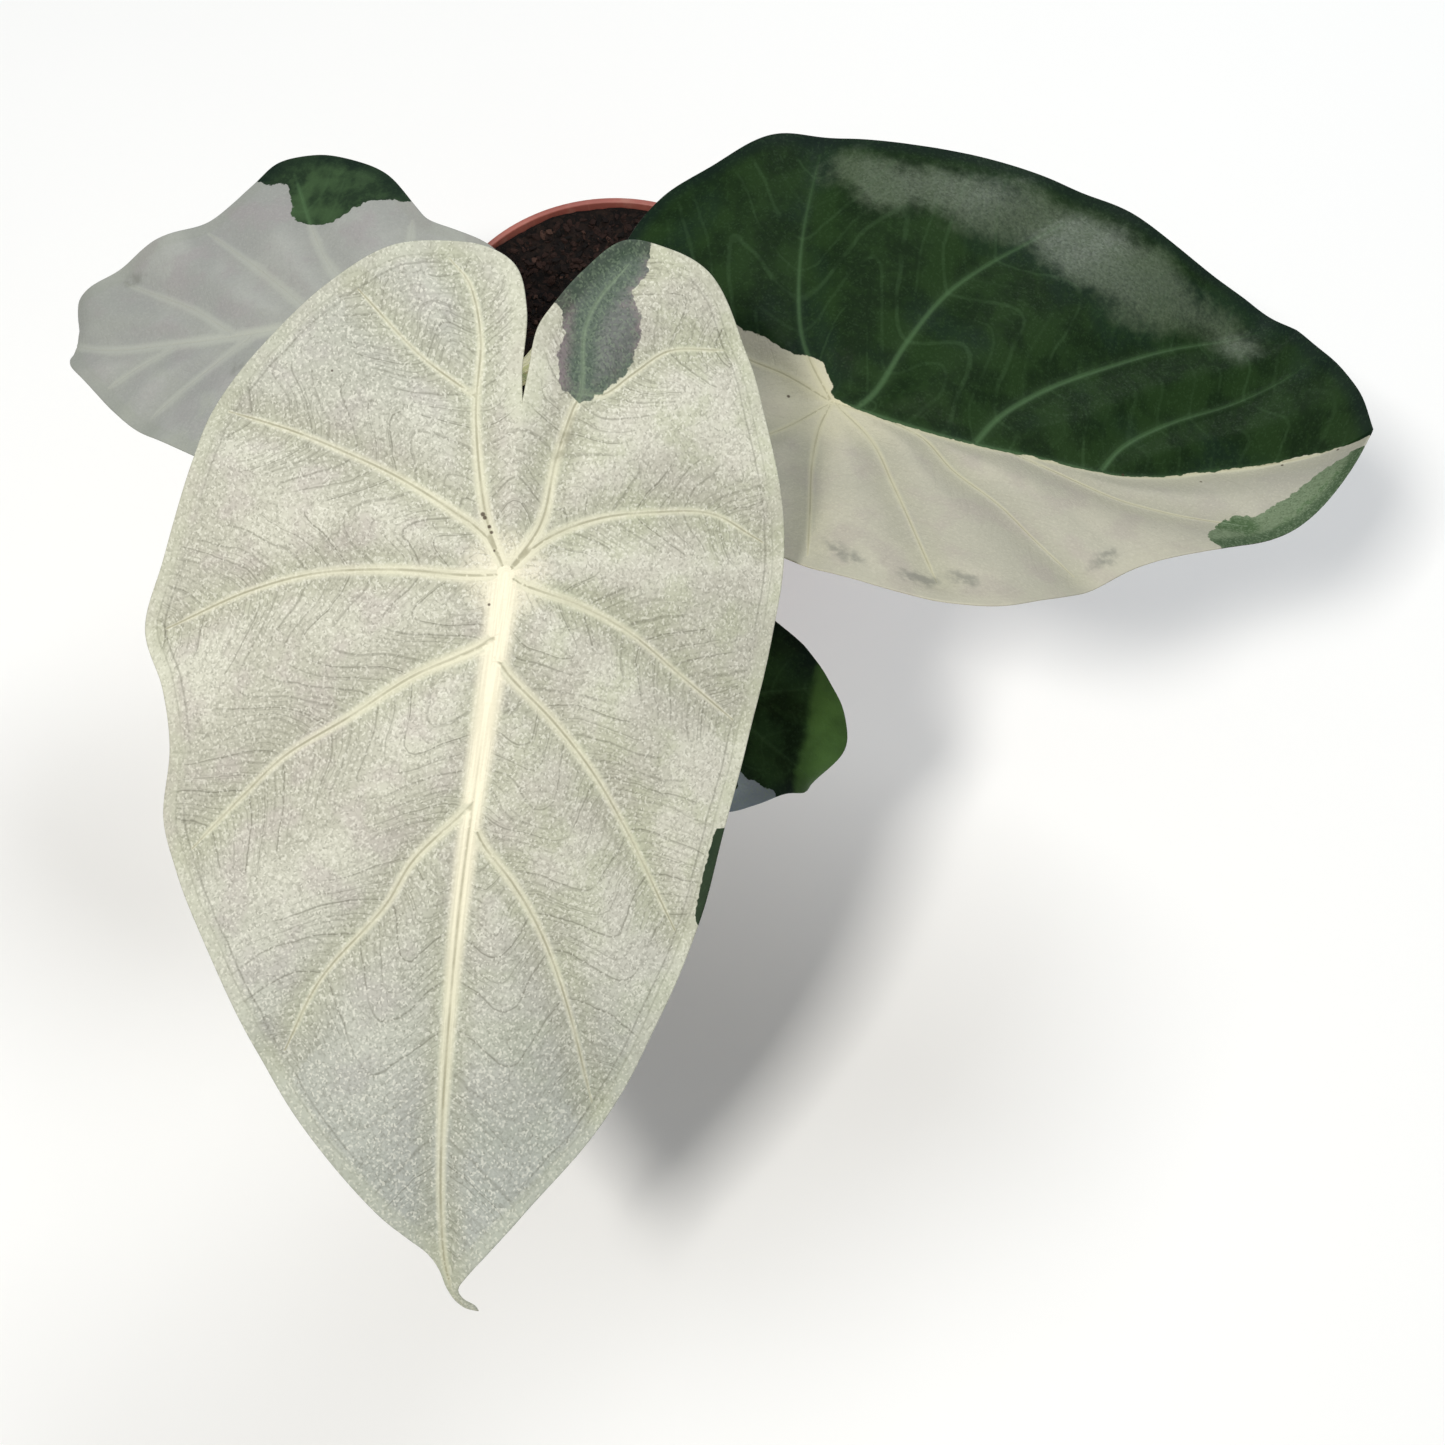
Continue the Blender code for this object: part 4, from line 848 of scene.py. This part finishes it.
def stalkTree():
    nodes, given = newTree("stalk", {"Sides": int, "Wings": float, "Channel": float,
                                     "Skin": bpy.types.Material})

    def named(name, kind="FLOAT"):
        return nodes.add("GeometryNodeInputNamedAttribute", {"data_type": kind}, {"Name": name})

    def keep(geometry, name, value, kind="FLOAT"):
        return nodes.add("GeometryNodeStoreNamedAttribute", {"data_type": kind},
                         {"Geometry": geometry, "Name": name, "Value": value})

    def facing(direction, power):     # 1 where the stalk's skin faces the direction, 0 to its sides
        return nodes.vectors("DOT_PRODUCT", around, direction, out="Value").atLeast(0) ** power

    place = nodes.add("GeometryNodeInputPosition")
    spine = nodes.add("GeometryNodeMeshToCurve", inputs={"Mesh": given["Geometry"]})
    spine = nodes.add("GeometryNodeSetCurveNormal", {"mode": "Z_UP"}, {"Curve": spine})
    spine = keep(spine, "run", nodes.add("GeometryNodeSplineParameter", out="Length"))
    spine = keep(spine, "core", place, "FLOAT_VECTOR")
    ring = nodes.add("GeometryNodeCurvePrimitiveCircle", inputs={"Resolution": given["Sides"], "Radius": 1.0})
    ring = keep(ring, "around", place, "FLOAT_VECTOR")
    tube = nodes.add("GeometryNodeCurveToMesh", inputs={"Curve": spine, "Profile Curve": ring,
                                                        "Scale": named("girth"), "Fill Caps": True})
    around = named("around", "FLOAT_VECTOR")
    wings = facing((0.77, 0.64, 0), 9) + facing((-0.77, 0.64, 0), 9)
    swell = named("sheath") * (wings * given["Wings"] - facing((0, 1, 0), 6) * given["Channel"])
    away = nodes.vectors("SUBTRACT", place, named("core", "FLOAT_VECTOR"))
    return closeTree(nodes, nodes.moved(tube, away, swell), given["Skin"])


def stalkSkin(nodes):
    run, sheath = nodes.attribute("run"), nodes.attribute("sheath")
    spot = nodes.add("ShaderNodeCombineXYZ", inputs={"Z": run * 220})
    place = nodes.vectors("MULTIPLY_ADD", nodes.attribute("around", "Vector"), (1.0, 1.0, 0.0), spot)
    streak = nodes.cloud(nodes.scaled(place, (5.0, 5.0, 0.35)), 1.0, 3)
    blotch = nodes.cloud(place, 2.2, 3)
    flecks = nodes.cells(nodes.scaled(place, (9.0, 9.0, 3.0)), 1.0)
    colour = nodes.layered((190, 192, 140), (streak.rise(0.38, 0.62), (222, 218, 182)),
                           (blotch.rise(0.55, 0.68) * 0.75, (104, 132, 74)),
                           (flecks.rise(0.9, 0.98) * blotch.rise(0.3, 0.6) * 0.5, (120, 78, 62)),
                           (sheath * streak.fall(0.3, 0.55) * 0.5, (158, 120, 84)))
    return {"Base Color": colour, "Roughness": 0.42 + streak * 0.2,
            "Normal": nodes.bump(streak * 0.8 + flecks * 0.2, 0.4, 0.2 * mm)}


stalkShape = stalkTree()
stalkFinish = makeMaterial("stalkSkin", stalkSkin)
for name, blade in blades.items():
    path = stalkPath(blade)
    count = len(path)
    share = np.linspace(0, 1, count)
    run = share * (count - 1) * stalkStyle["step"]
    girth = stalkStyle["footRadius"] + (stalkStyle["tipRadius"] - stalkStyle["footRadius"]) * share
    girth += stalkStyle["footSwell"] * np.exp(-run / stalkStyle["footReach"])
    girth += stalkStyle["tipSwell"] * np.exp((run - run[-1]) / stalkStyle["tipReach"])
    stalk = meshObject(f"petiole_{name}_skin", path * mm, [], edges=[(i, i + 1) for i in range(count - 1)])
    writeAttribute(stalk, "girth", girth * mm)
    fade = stalkStyle["sheathFade"]
    writeAttribute(stalk, "sheath", np.clip((stalkStyle["sheath"] + fade - share) / fade, 0, 1))
    grow(stalk, stalkShape, {"Sides": stalkStyle["sides"], "Wings": stalkStyle["wings"],
                             "Channel": stalkStyle["channel"], "Skin": stalkFinish})
    stalk.data.shade_smooth()
    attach(stalk, "root")
    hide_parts(f"petiole_{name}")
    print(f"stalk {name}: {len(stalk.data.polygons)} faces, {run[-1]:.0f} mm long")


# Turned pieces

def turned(profile, steps):           # a profile of (radius, height), turned about the upright axis
    points, rows = [], []
    for radius, height in profile:
        if radius == 0:
            rows.append([len(points)] * steps)
            points.append((0, 0, height))
            continue
        rows.append(list(range(len(points), len(points) + steps)))
        angles = [2 * pi * i / steps for i in range(steps)]
        points += [(radius * cos(angle), radius * sin(angle), height) for angle in angles]
    faces = []
    for upper, lower in zip(rows, rows[1:]):
        for i in range(steps):
            j = (i + 1) % steps
            corners = list(dict.fromkeys((upper[i], lower[i], lower[j], upper[j])))
            if len(corners) > 2:
                faces.append(corners)
    return np.array(points, dtype=float), faces


def rounded(profile, steps=4):        # a profile of (radius, height, corner radius) with its corners rounded
    spots = [np.array(point[:2], dtype=float) for point in profile]
    result = [spots[0]]
    for i in range(1, len(profile) - 1):
        into, out = spots[i - 1] - spots[i], spots[i + 1] - spots[i]
        reach = min(profile[i][2], 0.45 * np.linalg.norm(into), 0.45 * np.linalg.norm(out))
        start, end = spots[i] + unit(into) * reach, spots[i] + unit(out) * reach
        for t in np.linspace(0, 1, steps + 1):
            result.append(start * (1 - t) ** 2 + 2 * spots[i] * t * (1 - t) + end * t ** 2)
    return [tuple(point) for point in [*result, spots[-1]]]


potStyle = {
    "profile": [(0, 2, 0), (36.9, 2, 1.5), (49.35, 78.2, 1.5), (51.94, 82.4, 1.0), (53.04, 94, 0.55),
                (55, 94, 0.55), (54, 81, 0.5), (50.75, 80.3, 0.8), (38.1, 0, 1.4), (0, 0, 0)],
    "steps": 144, "drainHoles": 8, "drainRadius": 4.0, "drainRing": 26.0, "drainTurn": 0.4, "sharpFrom": 35,
}


def potTree():                        # drills the drain holes through the floor
    nodes, given = newTree("drainHoles", {"Holes": int, "Radius": float, "Ring": float, "Turn": float,
                                          "Skin": bpy.types.Material})
    ring = nodes.add("GeometryNodeMeshCircle", inputs={"Vertices": given["Holes"], "Radius": given["Ring"]})
    drill = nodes.add("GeometryNodeMeshCylinder",
                      inputs={"Vertices": 32, "Radius": given["Radius"], "Depth": 12 * mm})
    drills = nodes.add("GeometryNodeInstanceOnPoints", inputs={"Points": ring, "Instance": drill})
    spin = nodes.add("FunctionNodeAxisAngleToRotation", inputs={"Axis": (0, 0, 1), "Angle": given["Turn"]})
    drills = nodes.add("GeometryNodeTransform", inputs={"Geometry": drills, "Rotation": spin})
    drills = nodes.add("GeometryNodeRealizeInstances", inputs={"Geometry": drills})
    drilled = nodes.add("GeometryNodeMeshBoolean", {"operation": "DIFFERENCE"},
                        {"Mesh 1": given["Geometry"], "Mesh 2": drills})
    return closeTree(nodes, drilled, given["Skin"])


def potPlastic(nodes):
    place = nodes.objectPlace()
    cloudy, fine = nodes.cloud(place, 0.02, 3), nodes.cloud(place, 0.0012, 2)
    streaks = nodes.cloud(nodes.scaled(place, (1.0, 1.0, 0.06)), 0.0016, 2)
    dust = nodes.cloud(place, 0.006, 4).rise(0.52, 0.7)
    colour = nodes.layered((150, 84, 74), (cloudy.rise(0.35, 0.65), (164, 96, 84)),
                           (streaks.rise(0.55, 0.75) * 0.25, (176, 112, 100)), (dust * 0.3, (176, 140, 126)))
    return {"Base Color": colour, "Roughness": 0.42 + dust * 0.2 + fine * 0.1,
            "Normal": nodes.bump(fine * 0.6 + streaks * 0.4, 0.25, 0.15 * mm)}


potSkin = makeMaterial("potPlastic", potPlastic)
points, faces = turned(rounded(potStyle["profile"]), potStyle["steps"])
pot = meshObject("pot_shell", points * mm, faces, potSkin)
grow(pot, potTree(), {"Holes": potStyle["drainHoles"], "Radius": potStyle["drainRadius"] * mm,
                      "Ring": potStyle["drainRing"] * mm, "Skin": potSkin,
                      "Turn": 2 * pi * potStyle["drainTurn"] / potStyle["drainHoles"]})
pot.data.set_sharp_from_angle(angle=radians(potStyle["sharpFrom"]))
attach(pot, "root")
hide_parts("pot")
print(f"pot: {len(pot.data.polygons)} faces")


# Soil: a lumpy bed that fills the pot, with bark chips and crumbs lying on it

soilStyle = {
    "level": 86, "bank": 6, "bankStart": 15, "edge": 52.3, "hole": 11, "holeFloor": 66, "rings": 44,
    "steps": 160, "side": [(51.34, 82.4), (48.75, 78.2), (36.1, 2.4)], "lump": 0.8, "edgeLump": 0.4,
    "crumb": 1.5,
    # each swell of the soil: how it turns along x and along y, its shift and its size
    "swells": [(0.210, 0.095, 0.3, 1.0), (-0.130, 0.240, 1.9, 0.8), (0.330, -0.280, 4.1, 0.5),
               (0.090, 0.410, 2.6, 0.45)],
    "chips": 3000, "chipSmall": (1.2, 0.8, 0.5), "chipLarge": (5.0, 2.8, 1.3), "chipReach": 50,
    "chipFloor": 82, "seed": 5,
}


def soilHeight(x, y):
    swells = sum(size * sin(a * x + b * y + shift) for a, b, shift, size in soilStyle["swells"])
    height = soilStyle["lump"] * swells
    height += soilStyle["crumb"] * lumps.fractal(Vector((x, y, 0)) * 0.3, 0.8, 2.0, 4)
    outward = np.hypot(x, y) / soilStyle["edge"]
    return height * (1 - (1 - soilStyle["edgeLump"]) * outward ** 2)


def soilBank(radius):
    share = max(0, (radius - soilStyle["bankStart"]) / (soilStyle["edge"] - soilStyle["bankStart"]))
    return soilStyle["bank"] * share ** 2


def chipTree():                       # bark chips and crumbs that lie on a bed
    nodes, given = newTree("barkChips", {"Density": float, "Reach": float, "Floor": float, "Small": Vector,
                                         "Large": Vector, "Seed": int, "Bark": bpy.types.Material})
    place = nodes.add("GeometryNodeInputPosition")
    radius = nodes.vectors("LENGTH", nodes.scaled(place, (1, 1, 0)), out="Value")
    onTop = (nodes.part(place, "Z") > given["Floor"]) * (radius < given["Reach"])
    spots = nodes.add("GeometryNodeDistributePointsOnFaces",
                      inputs={"Mesh": given["Geometry"], "Selection": onTop,
                              "Density": given["Density"], "Seed": given["Seed"]})

    def chance(shift):                # 0 to 1, another value for each chip
        return nodes.add("FunctionNodeRandomValue", {"data_type": "FLOAT"},
                         {"Min_001": 0.0, "Max_001": 1.0, "Seed": given["Seed"] + shift}, "Value_001")

    ball = nodes.add("GeometryNodeMeshIcoSphere", inputs={"Radius": 0.5 * mm, "Subdivisions": 1})
    lean = nodes.add("FunctionNodeRandomValue", {"data_type": "FLOAT_VECTOR"},
                     {"Min": (-0.6, -0.6, 0.0), "Max": (0.6, 0.6, 6.28), "Seed": given["Seed"] + 1}, "Value")
    lie = nodes.add("FunctionNodeEulerToRotation", inputs=(lean,))
    # few chips are large: the size follows a steep curve
    size = nodes.add("ShaderNodeMix", {"data_type": "VECTOR"},
                     {"Factor_Float": chance(2) ** 2.6, "A_Vector": given["Small"],
                      "B_Vector": given["Large"]}, "Result_Vector")
    chips = nodes.add("GeometryNodeInstanceOnPoints",
                      inputs={"Points": spots, "Instance": ball, "Rotation": lie, "Scale": size})
    chips = nodes.add("GeometryNodeStoreNamedAttribute", {"data_type": "FLOAT", "domain": "INSTANCE"},
                      {"Geometry": chips, "Name": "tone", "Value": chance(3)})
    chips = nodes.add("GeometryNodeRealizeInstances", inputs={"Geometry": chips})
    rough = nodes.add("ShaderNodeTexNoise", None, {"Vector": place, "Scale": 700.0, "Detail": 1.0}, "Color")
    away = nodes.vectors("SUBTRACT", rough, (0.5, 0.5, 0.5))
    return closeTree(nodes, nodes.moved(chips, away, 1.3 * mm), given["Bark"])


def soilBed(nodes):
    place = nodes.objectPlace()
    crumbs, fine = nodes.cells(place, 0.0016), nodes.cloud(place, 0.0007, 3)
    # soil colours darkened to near black: partly painted shade under the leaves
    colour = nodes.layered((10, 7, 6), (crumbs.rise(0.2, 0.95), (30, 21, 17)),
                           (fine.rise(0.55, 0.75) * 0.6, (50, 36, 28)))
    return {"Base Color": colour, "Roughness": 0.85 + fine * 0.15,
            "Normal": nodes.bump(crumbs * 0.6 + fine * 0.6, 0.8, 0.8 * mm)}


def barkSkin(nodes):
    tone = nodes.attribute("tone")
    grain = nodes.cloud(nodes.scaled(nodes.objectPlace(), (1, 1, 3)), 0.0006, 3)
    # bark chip colours darkened: partly painted shade under the leaves
    colour = nodes.layered((12, 9, 8), (tone.rise(0.1, 0.7), (40, 25, 20)),
                           (tone.rise(0.88, 0.98), (70, 50, 42)), (grain.rise(0.5, 0.7) * 0.5, (18, 12, 10)))
    return {"Base Color": colour, "Roughness": 0.7 + grain * 0.25, "Normal": nodes.bump(grain, 0.7, 0.5 * mm)}


edge, hole, level = soilStyle["edge"], soilStyle["hole"], soilStyle["level"]
top = [(radius, level + soilBank(radius)) for radius in np.linspace(hole, edge, soilStyle["rings"] + 1)]
profile = [(0, soilStyle["holeFloor"]), (hole, soilStyle["holeFloor"]), *top, *soilStyle["side"],
           (0, soilStyle["side"][-1][1])]
points, faces = turned(profile, soilStyle["steps"])
for point in points:
    radius = np.hypot(point[0], point[1])
    if point[2] > level - 1 and radius > hole + 0.5:
        point[2] += soilHeight(point[0], point[1]) * min(1, (radius - hole) / 4)
dull = {"Specular IOR Level": 0.2}
soil = meshObject("soil_bed", points * mm, faces, makeMaterial("soilBed", soilBed, dull))
chips = meshObject("bark_chips", points * mm, faces)
grow(chips, chipTree(), {"Density": soilStyle["chips"] / (pi * (edge * mm) ** 2), "Seed": soilStyle["seed"],
                         "Reach": soilStyle["chipReach"] * mm, "Floor": soilStyle["chipFloor"] * mm,
                         "Small": soilStyle["chipSmall"], "Large": soilStyle["chipLarge"],
                         "Bark": makeMaterial("barkChip", barkSkin, dull)})
for piece in (soil, chips):
    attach(piece, "root")
    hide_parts("soil")
print(f"soil: {len(soil.data.polygons)} faces, chips: {len(chips.data.polygons)} faces")


# Crown: the short stem, wrapped in papery leaf bases

crownStyle = {
    "profile": [(0, 111, 0), (4.5, 110, 2), (7.4, 104, 3), (9.4, 95, 3), (10.3, 86, 3), (10.6, 80, 2),
                (9.4, 69, 3), (6.4, 66.4, 2), (0, 66.3, 0)],
    "steps": 96,
    # each sheath: azimuth, foot height, top height, share of the way round at its foot, how far it leans out
    "sheaths": [(-100, 82, 122, 0.52, 2.6), (25, 82, 118, 0.50, 3.2), (150, 82, 115, 0.50, 3.0),
                (-40, 84, 108, 0.45, 4.6), (85, 83, 104, 0.42, 5.0), (-160, 83, 106, 0.44, 4.8)],
    "sheathThickness": 0.5, "sheathGap": 0.5, "shoulder": 102, "ripple": 0.35, "flare": 0.8, "edgeDrop": 3.5,
    "rows": 22, "columns": 30, "stemPaper": 0.35, "footPaper": 0.25,
}


def crownRadius(height):
    spots = sorted((z, r) for r, z, _ in crownStyle["profile"])
    return np.interp(height, *np.transpose(spots))


def buildSheath(azimuth, foot, tip, share, lean):
    rows, columns = crownStyle["rows"], crownStyle["columns"]
    points = []
    for i in range(rows + 1):
        up = i / rows
        height = foot + (tip - foot) * up
        half = pi * share * max(0.02, (1 - up ** 2.4)) ** 0.6
        inner = crownRadius(min(height, crownStyle["shoulder"])) + crownStyle["sheathGap"] + lean * up ** 1.6
        for j in range(columns + 1):
            across = 2 * j / columns - 1
            ripple = crownStyle["ripple"] * sin(9 * up + 5 * across + azimuth) * up
            radius = inner + ripple + crownStyle["flare"] * abs(across) ** 3 * up
            angle = radians(azimuth) + half * across
            drop = crownStyle["edgeDrop"] * across ** 2 * up
            points.append((radius * cos(angle), radius * sin(angle), height - drop))
    starts = [i * (columns + 1) + j for i in range(rows) for j in range(columns)]
    return points, [(a, a + 1, a + columns + 2, a + columns + 1) for a in starts]


def crownSkin(nodes):
    place, paper = nodes.objectPlace(), nodes.attribute("paper")
    streak = nodes.cloud(nodes.scaled(place, (1, 1, 0.12)), 0.0012, 3)
    blotch = nodes.cloud(place, 0.006, 3)
    brown = nodes.layered((104, 72, 50), (streak.rise(0.4, 0.62), (168, 132, 96)))
    colour = nodes.layered((176, 178, 124), (streak.rise(0.35, 0.65), (214, 208, 166)),
                           (blotch.rise(0.52, 0.7) * 0.7, (112, 132, 76)),
                           ((paper + (blotch - 0.5) * 0.8).rise(0.45, 0.75), brown))
    return {"Base Color": colour, "Roughness": 0.5 + paper * 0.3, "Normal": nodes.bump(streak, 0.5, 0.3 * mm)}


points, faces = turned(rounded(crownStyle["profile"]), crownStyle["steps"])
allPoints, allFaces, paper = points * mm, faces, np.full(len(points), crownStyle["stemPaper"])
for sheath in crownStyle["sheaths"]:
    points, faces = buildSheath(*sheath)
    leaf = meshObject("sheath", np.array(points) * mm, faces)
    wall = leaf.modifiers.new("Thickness", "SOLIDIFY")
    wall.thickness, wall.offset = crownStyle["sheathThickness"] * mm, 1.0
    plainMesh(leaf)
    spots = np.array([tuple(vertex.co) for vertex in leaf.data.vertices])
    allFaces += [[len(allPoints) + i for i in face.vertices] for face in leaf.data.polygons]
    allPoints = np.vstack([allPoints, spots])
    upward = np.clip((spots[:, 2] / mm - sheath[1]) / (sheath[2] - sheath[1]), 0, 1)
    paper = np.append(paper, crownStyle["footPaper"] + (1 - crownStyle["footPaper"]) * upward ** 1.5)
    bpy.data.objects.remove(leaf, do_unlink=True)
crown = meshObject("crown_stem", allPoints, allFaces, makeMaterial("crownSkin", crownSkin))
writeAttribute(crown, "paper", paper)
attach(crown, "root")
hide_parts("crown")
print(f"crown: {len(crown.data.polygons)} faces")


# Stage: a pale floor, a camera over the plant and soft studio light

stageStyle = {
    "floorHalf": 3.0, "floorTones": [(0.90, 0.90, 0.89), (0.94, 0.94, 0.93)],
    "camera": (0.0346, -0.3882, 0.6741), "tilt": 24, "lens": 55, "sensor": 36, "lookAt": (0.0, -0.10, 0.15),
    "lights": {
        "key": {"from": (-0.42, -0.75, 1.65), "size": 0.22, "power": 18.5, "colour": (1.0, 0.97, 0.92)},
        "overhead": {"from": (0.55, 0.78, 1.5), "size": 0.6, "power": 12, "colour": (0.95, 0.98, 1.0)},
    },
    "sky": (0.93, 0.96, 1.0), "skyStrength": 0.36,
}


def paleFloor(nodes):
    place = nodes.objectPlace()
    return {"Base Color": nodes.blend(nodes.cloud(place, 0.4, 3), *stageStyle["floorTones"]),
            "Roughness": nodes.cloud(place, 0.05, 2) * 0.1 + 0.6}


def inScene(name, data, place, turned):
    item = bpy.data.objects.new(name, data)
    item.location, item.rotation_euler = place, turned
    bpy.context.scene.collection.objects.link(item)
    return item


half = stageStyle["floorHalf"]
floor = meshObject("floor", [(-half, -half, 0), (half, -half, 0), (half, half, 0), (-half, half, 0)],
                   [(0, 1, 2, 3)], makeMaterial("paleFloor", paleFloor))

cameraData = bpy.data.cameras.new("camera")
cameraData.lens, cameraData.sensor_width = stageStyle["lens"], stageStyle["sensor"]
cameraTurn = (radians(stageStyle["tilt"]), 0, 0)
bpy.context.scene.camera = inScene("camera", cameraData, stageStyle["camera"], cameraTurn)
for name, light in stageStyle["lights"].items():
    lamp = bpy.data.lights.new(name, "AREA")
    lamp.size, lamp.energy, lamp.color = light["size"], light["power"], light["colour"]
    ahead = Vector(stageStyle["lookAt"]) - Vector(light["from"])
    inScene(name, lamp, light["from"], ahead.to_track_quat("-Z", "Y").to_euler())

world = bpy.data.worlds.new("studio")
world.use_nodes = True
sky = world.node_tree.nodes["Background"].inputs
sky["Color"].default_value = (*stageStyle["sky"], 1.0)
sky["Strength"].default_value = stageStyle["skyStrength"]
bpy.context.scene.world = world
bpy.context.scene.view_settings.view_transform = "Standard"
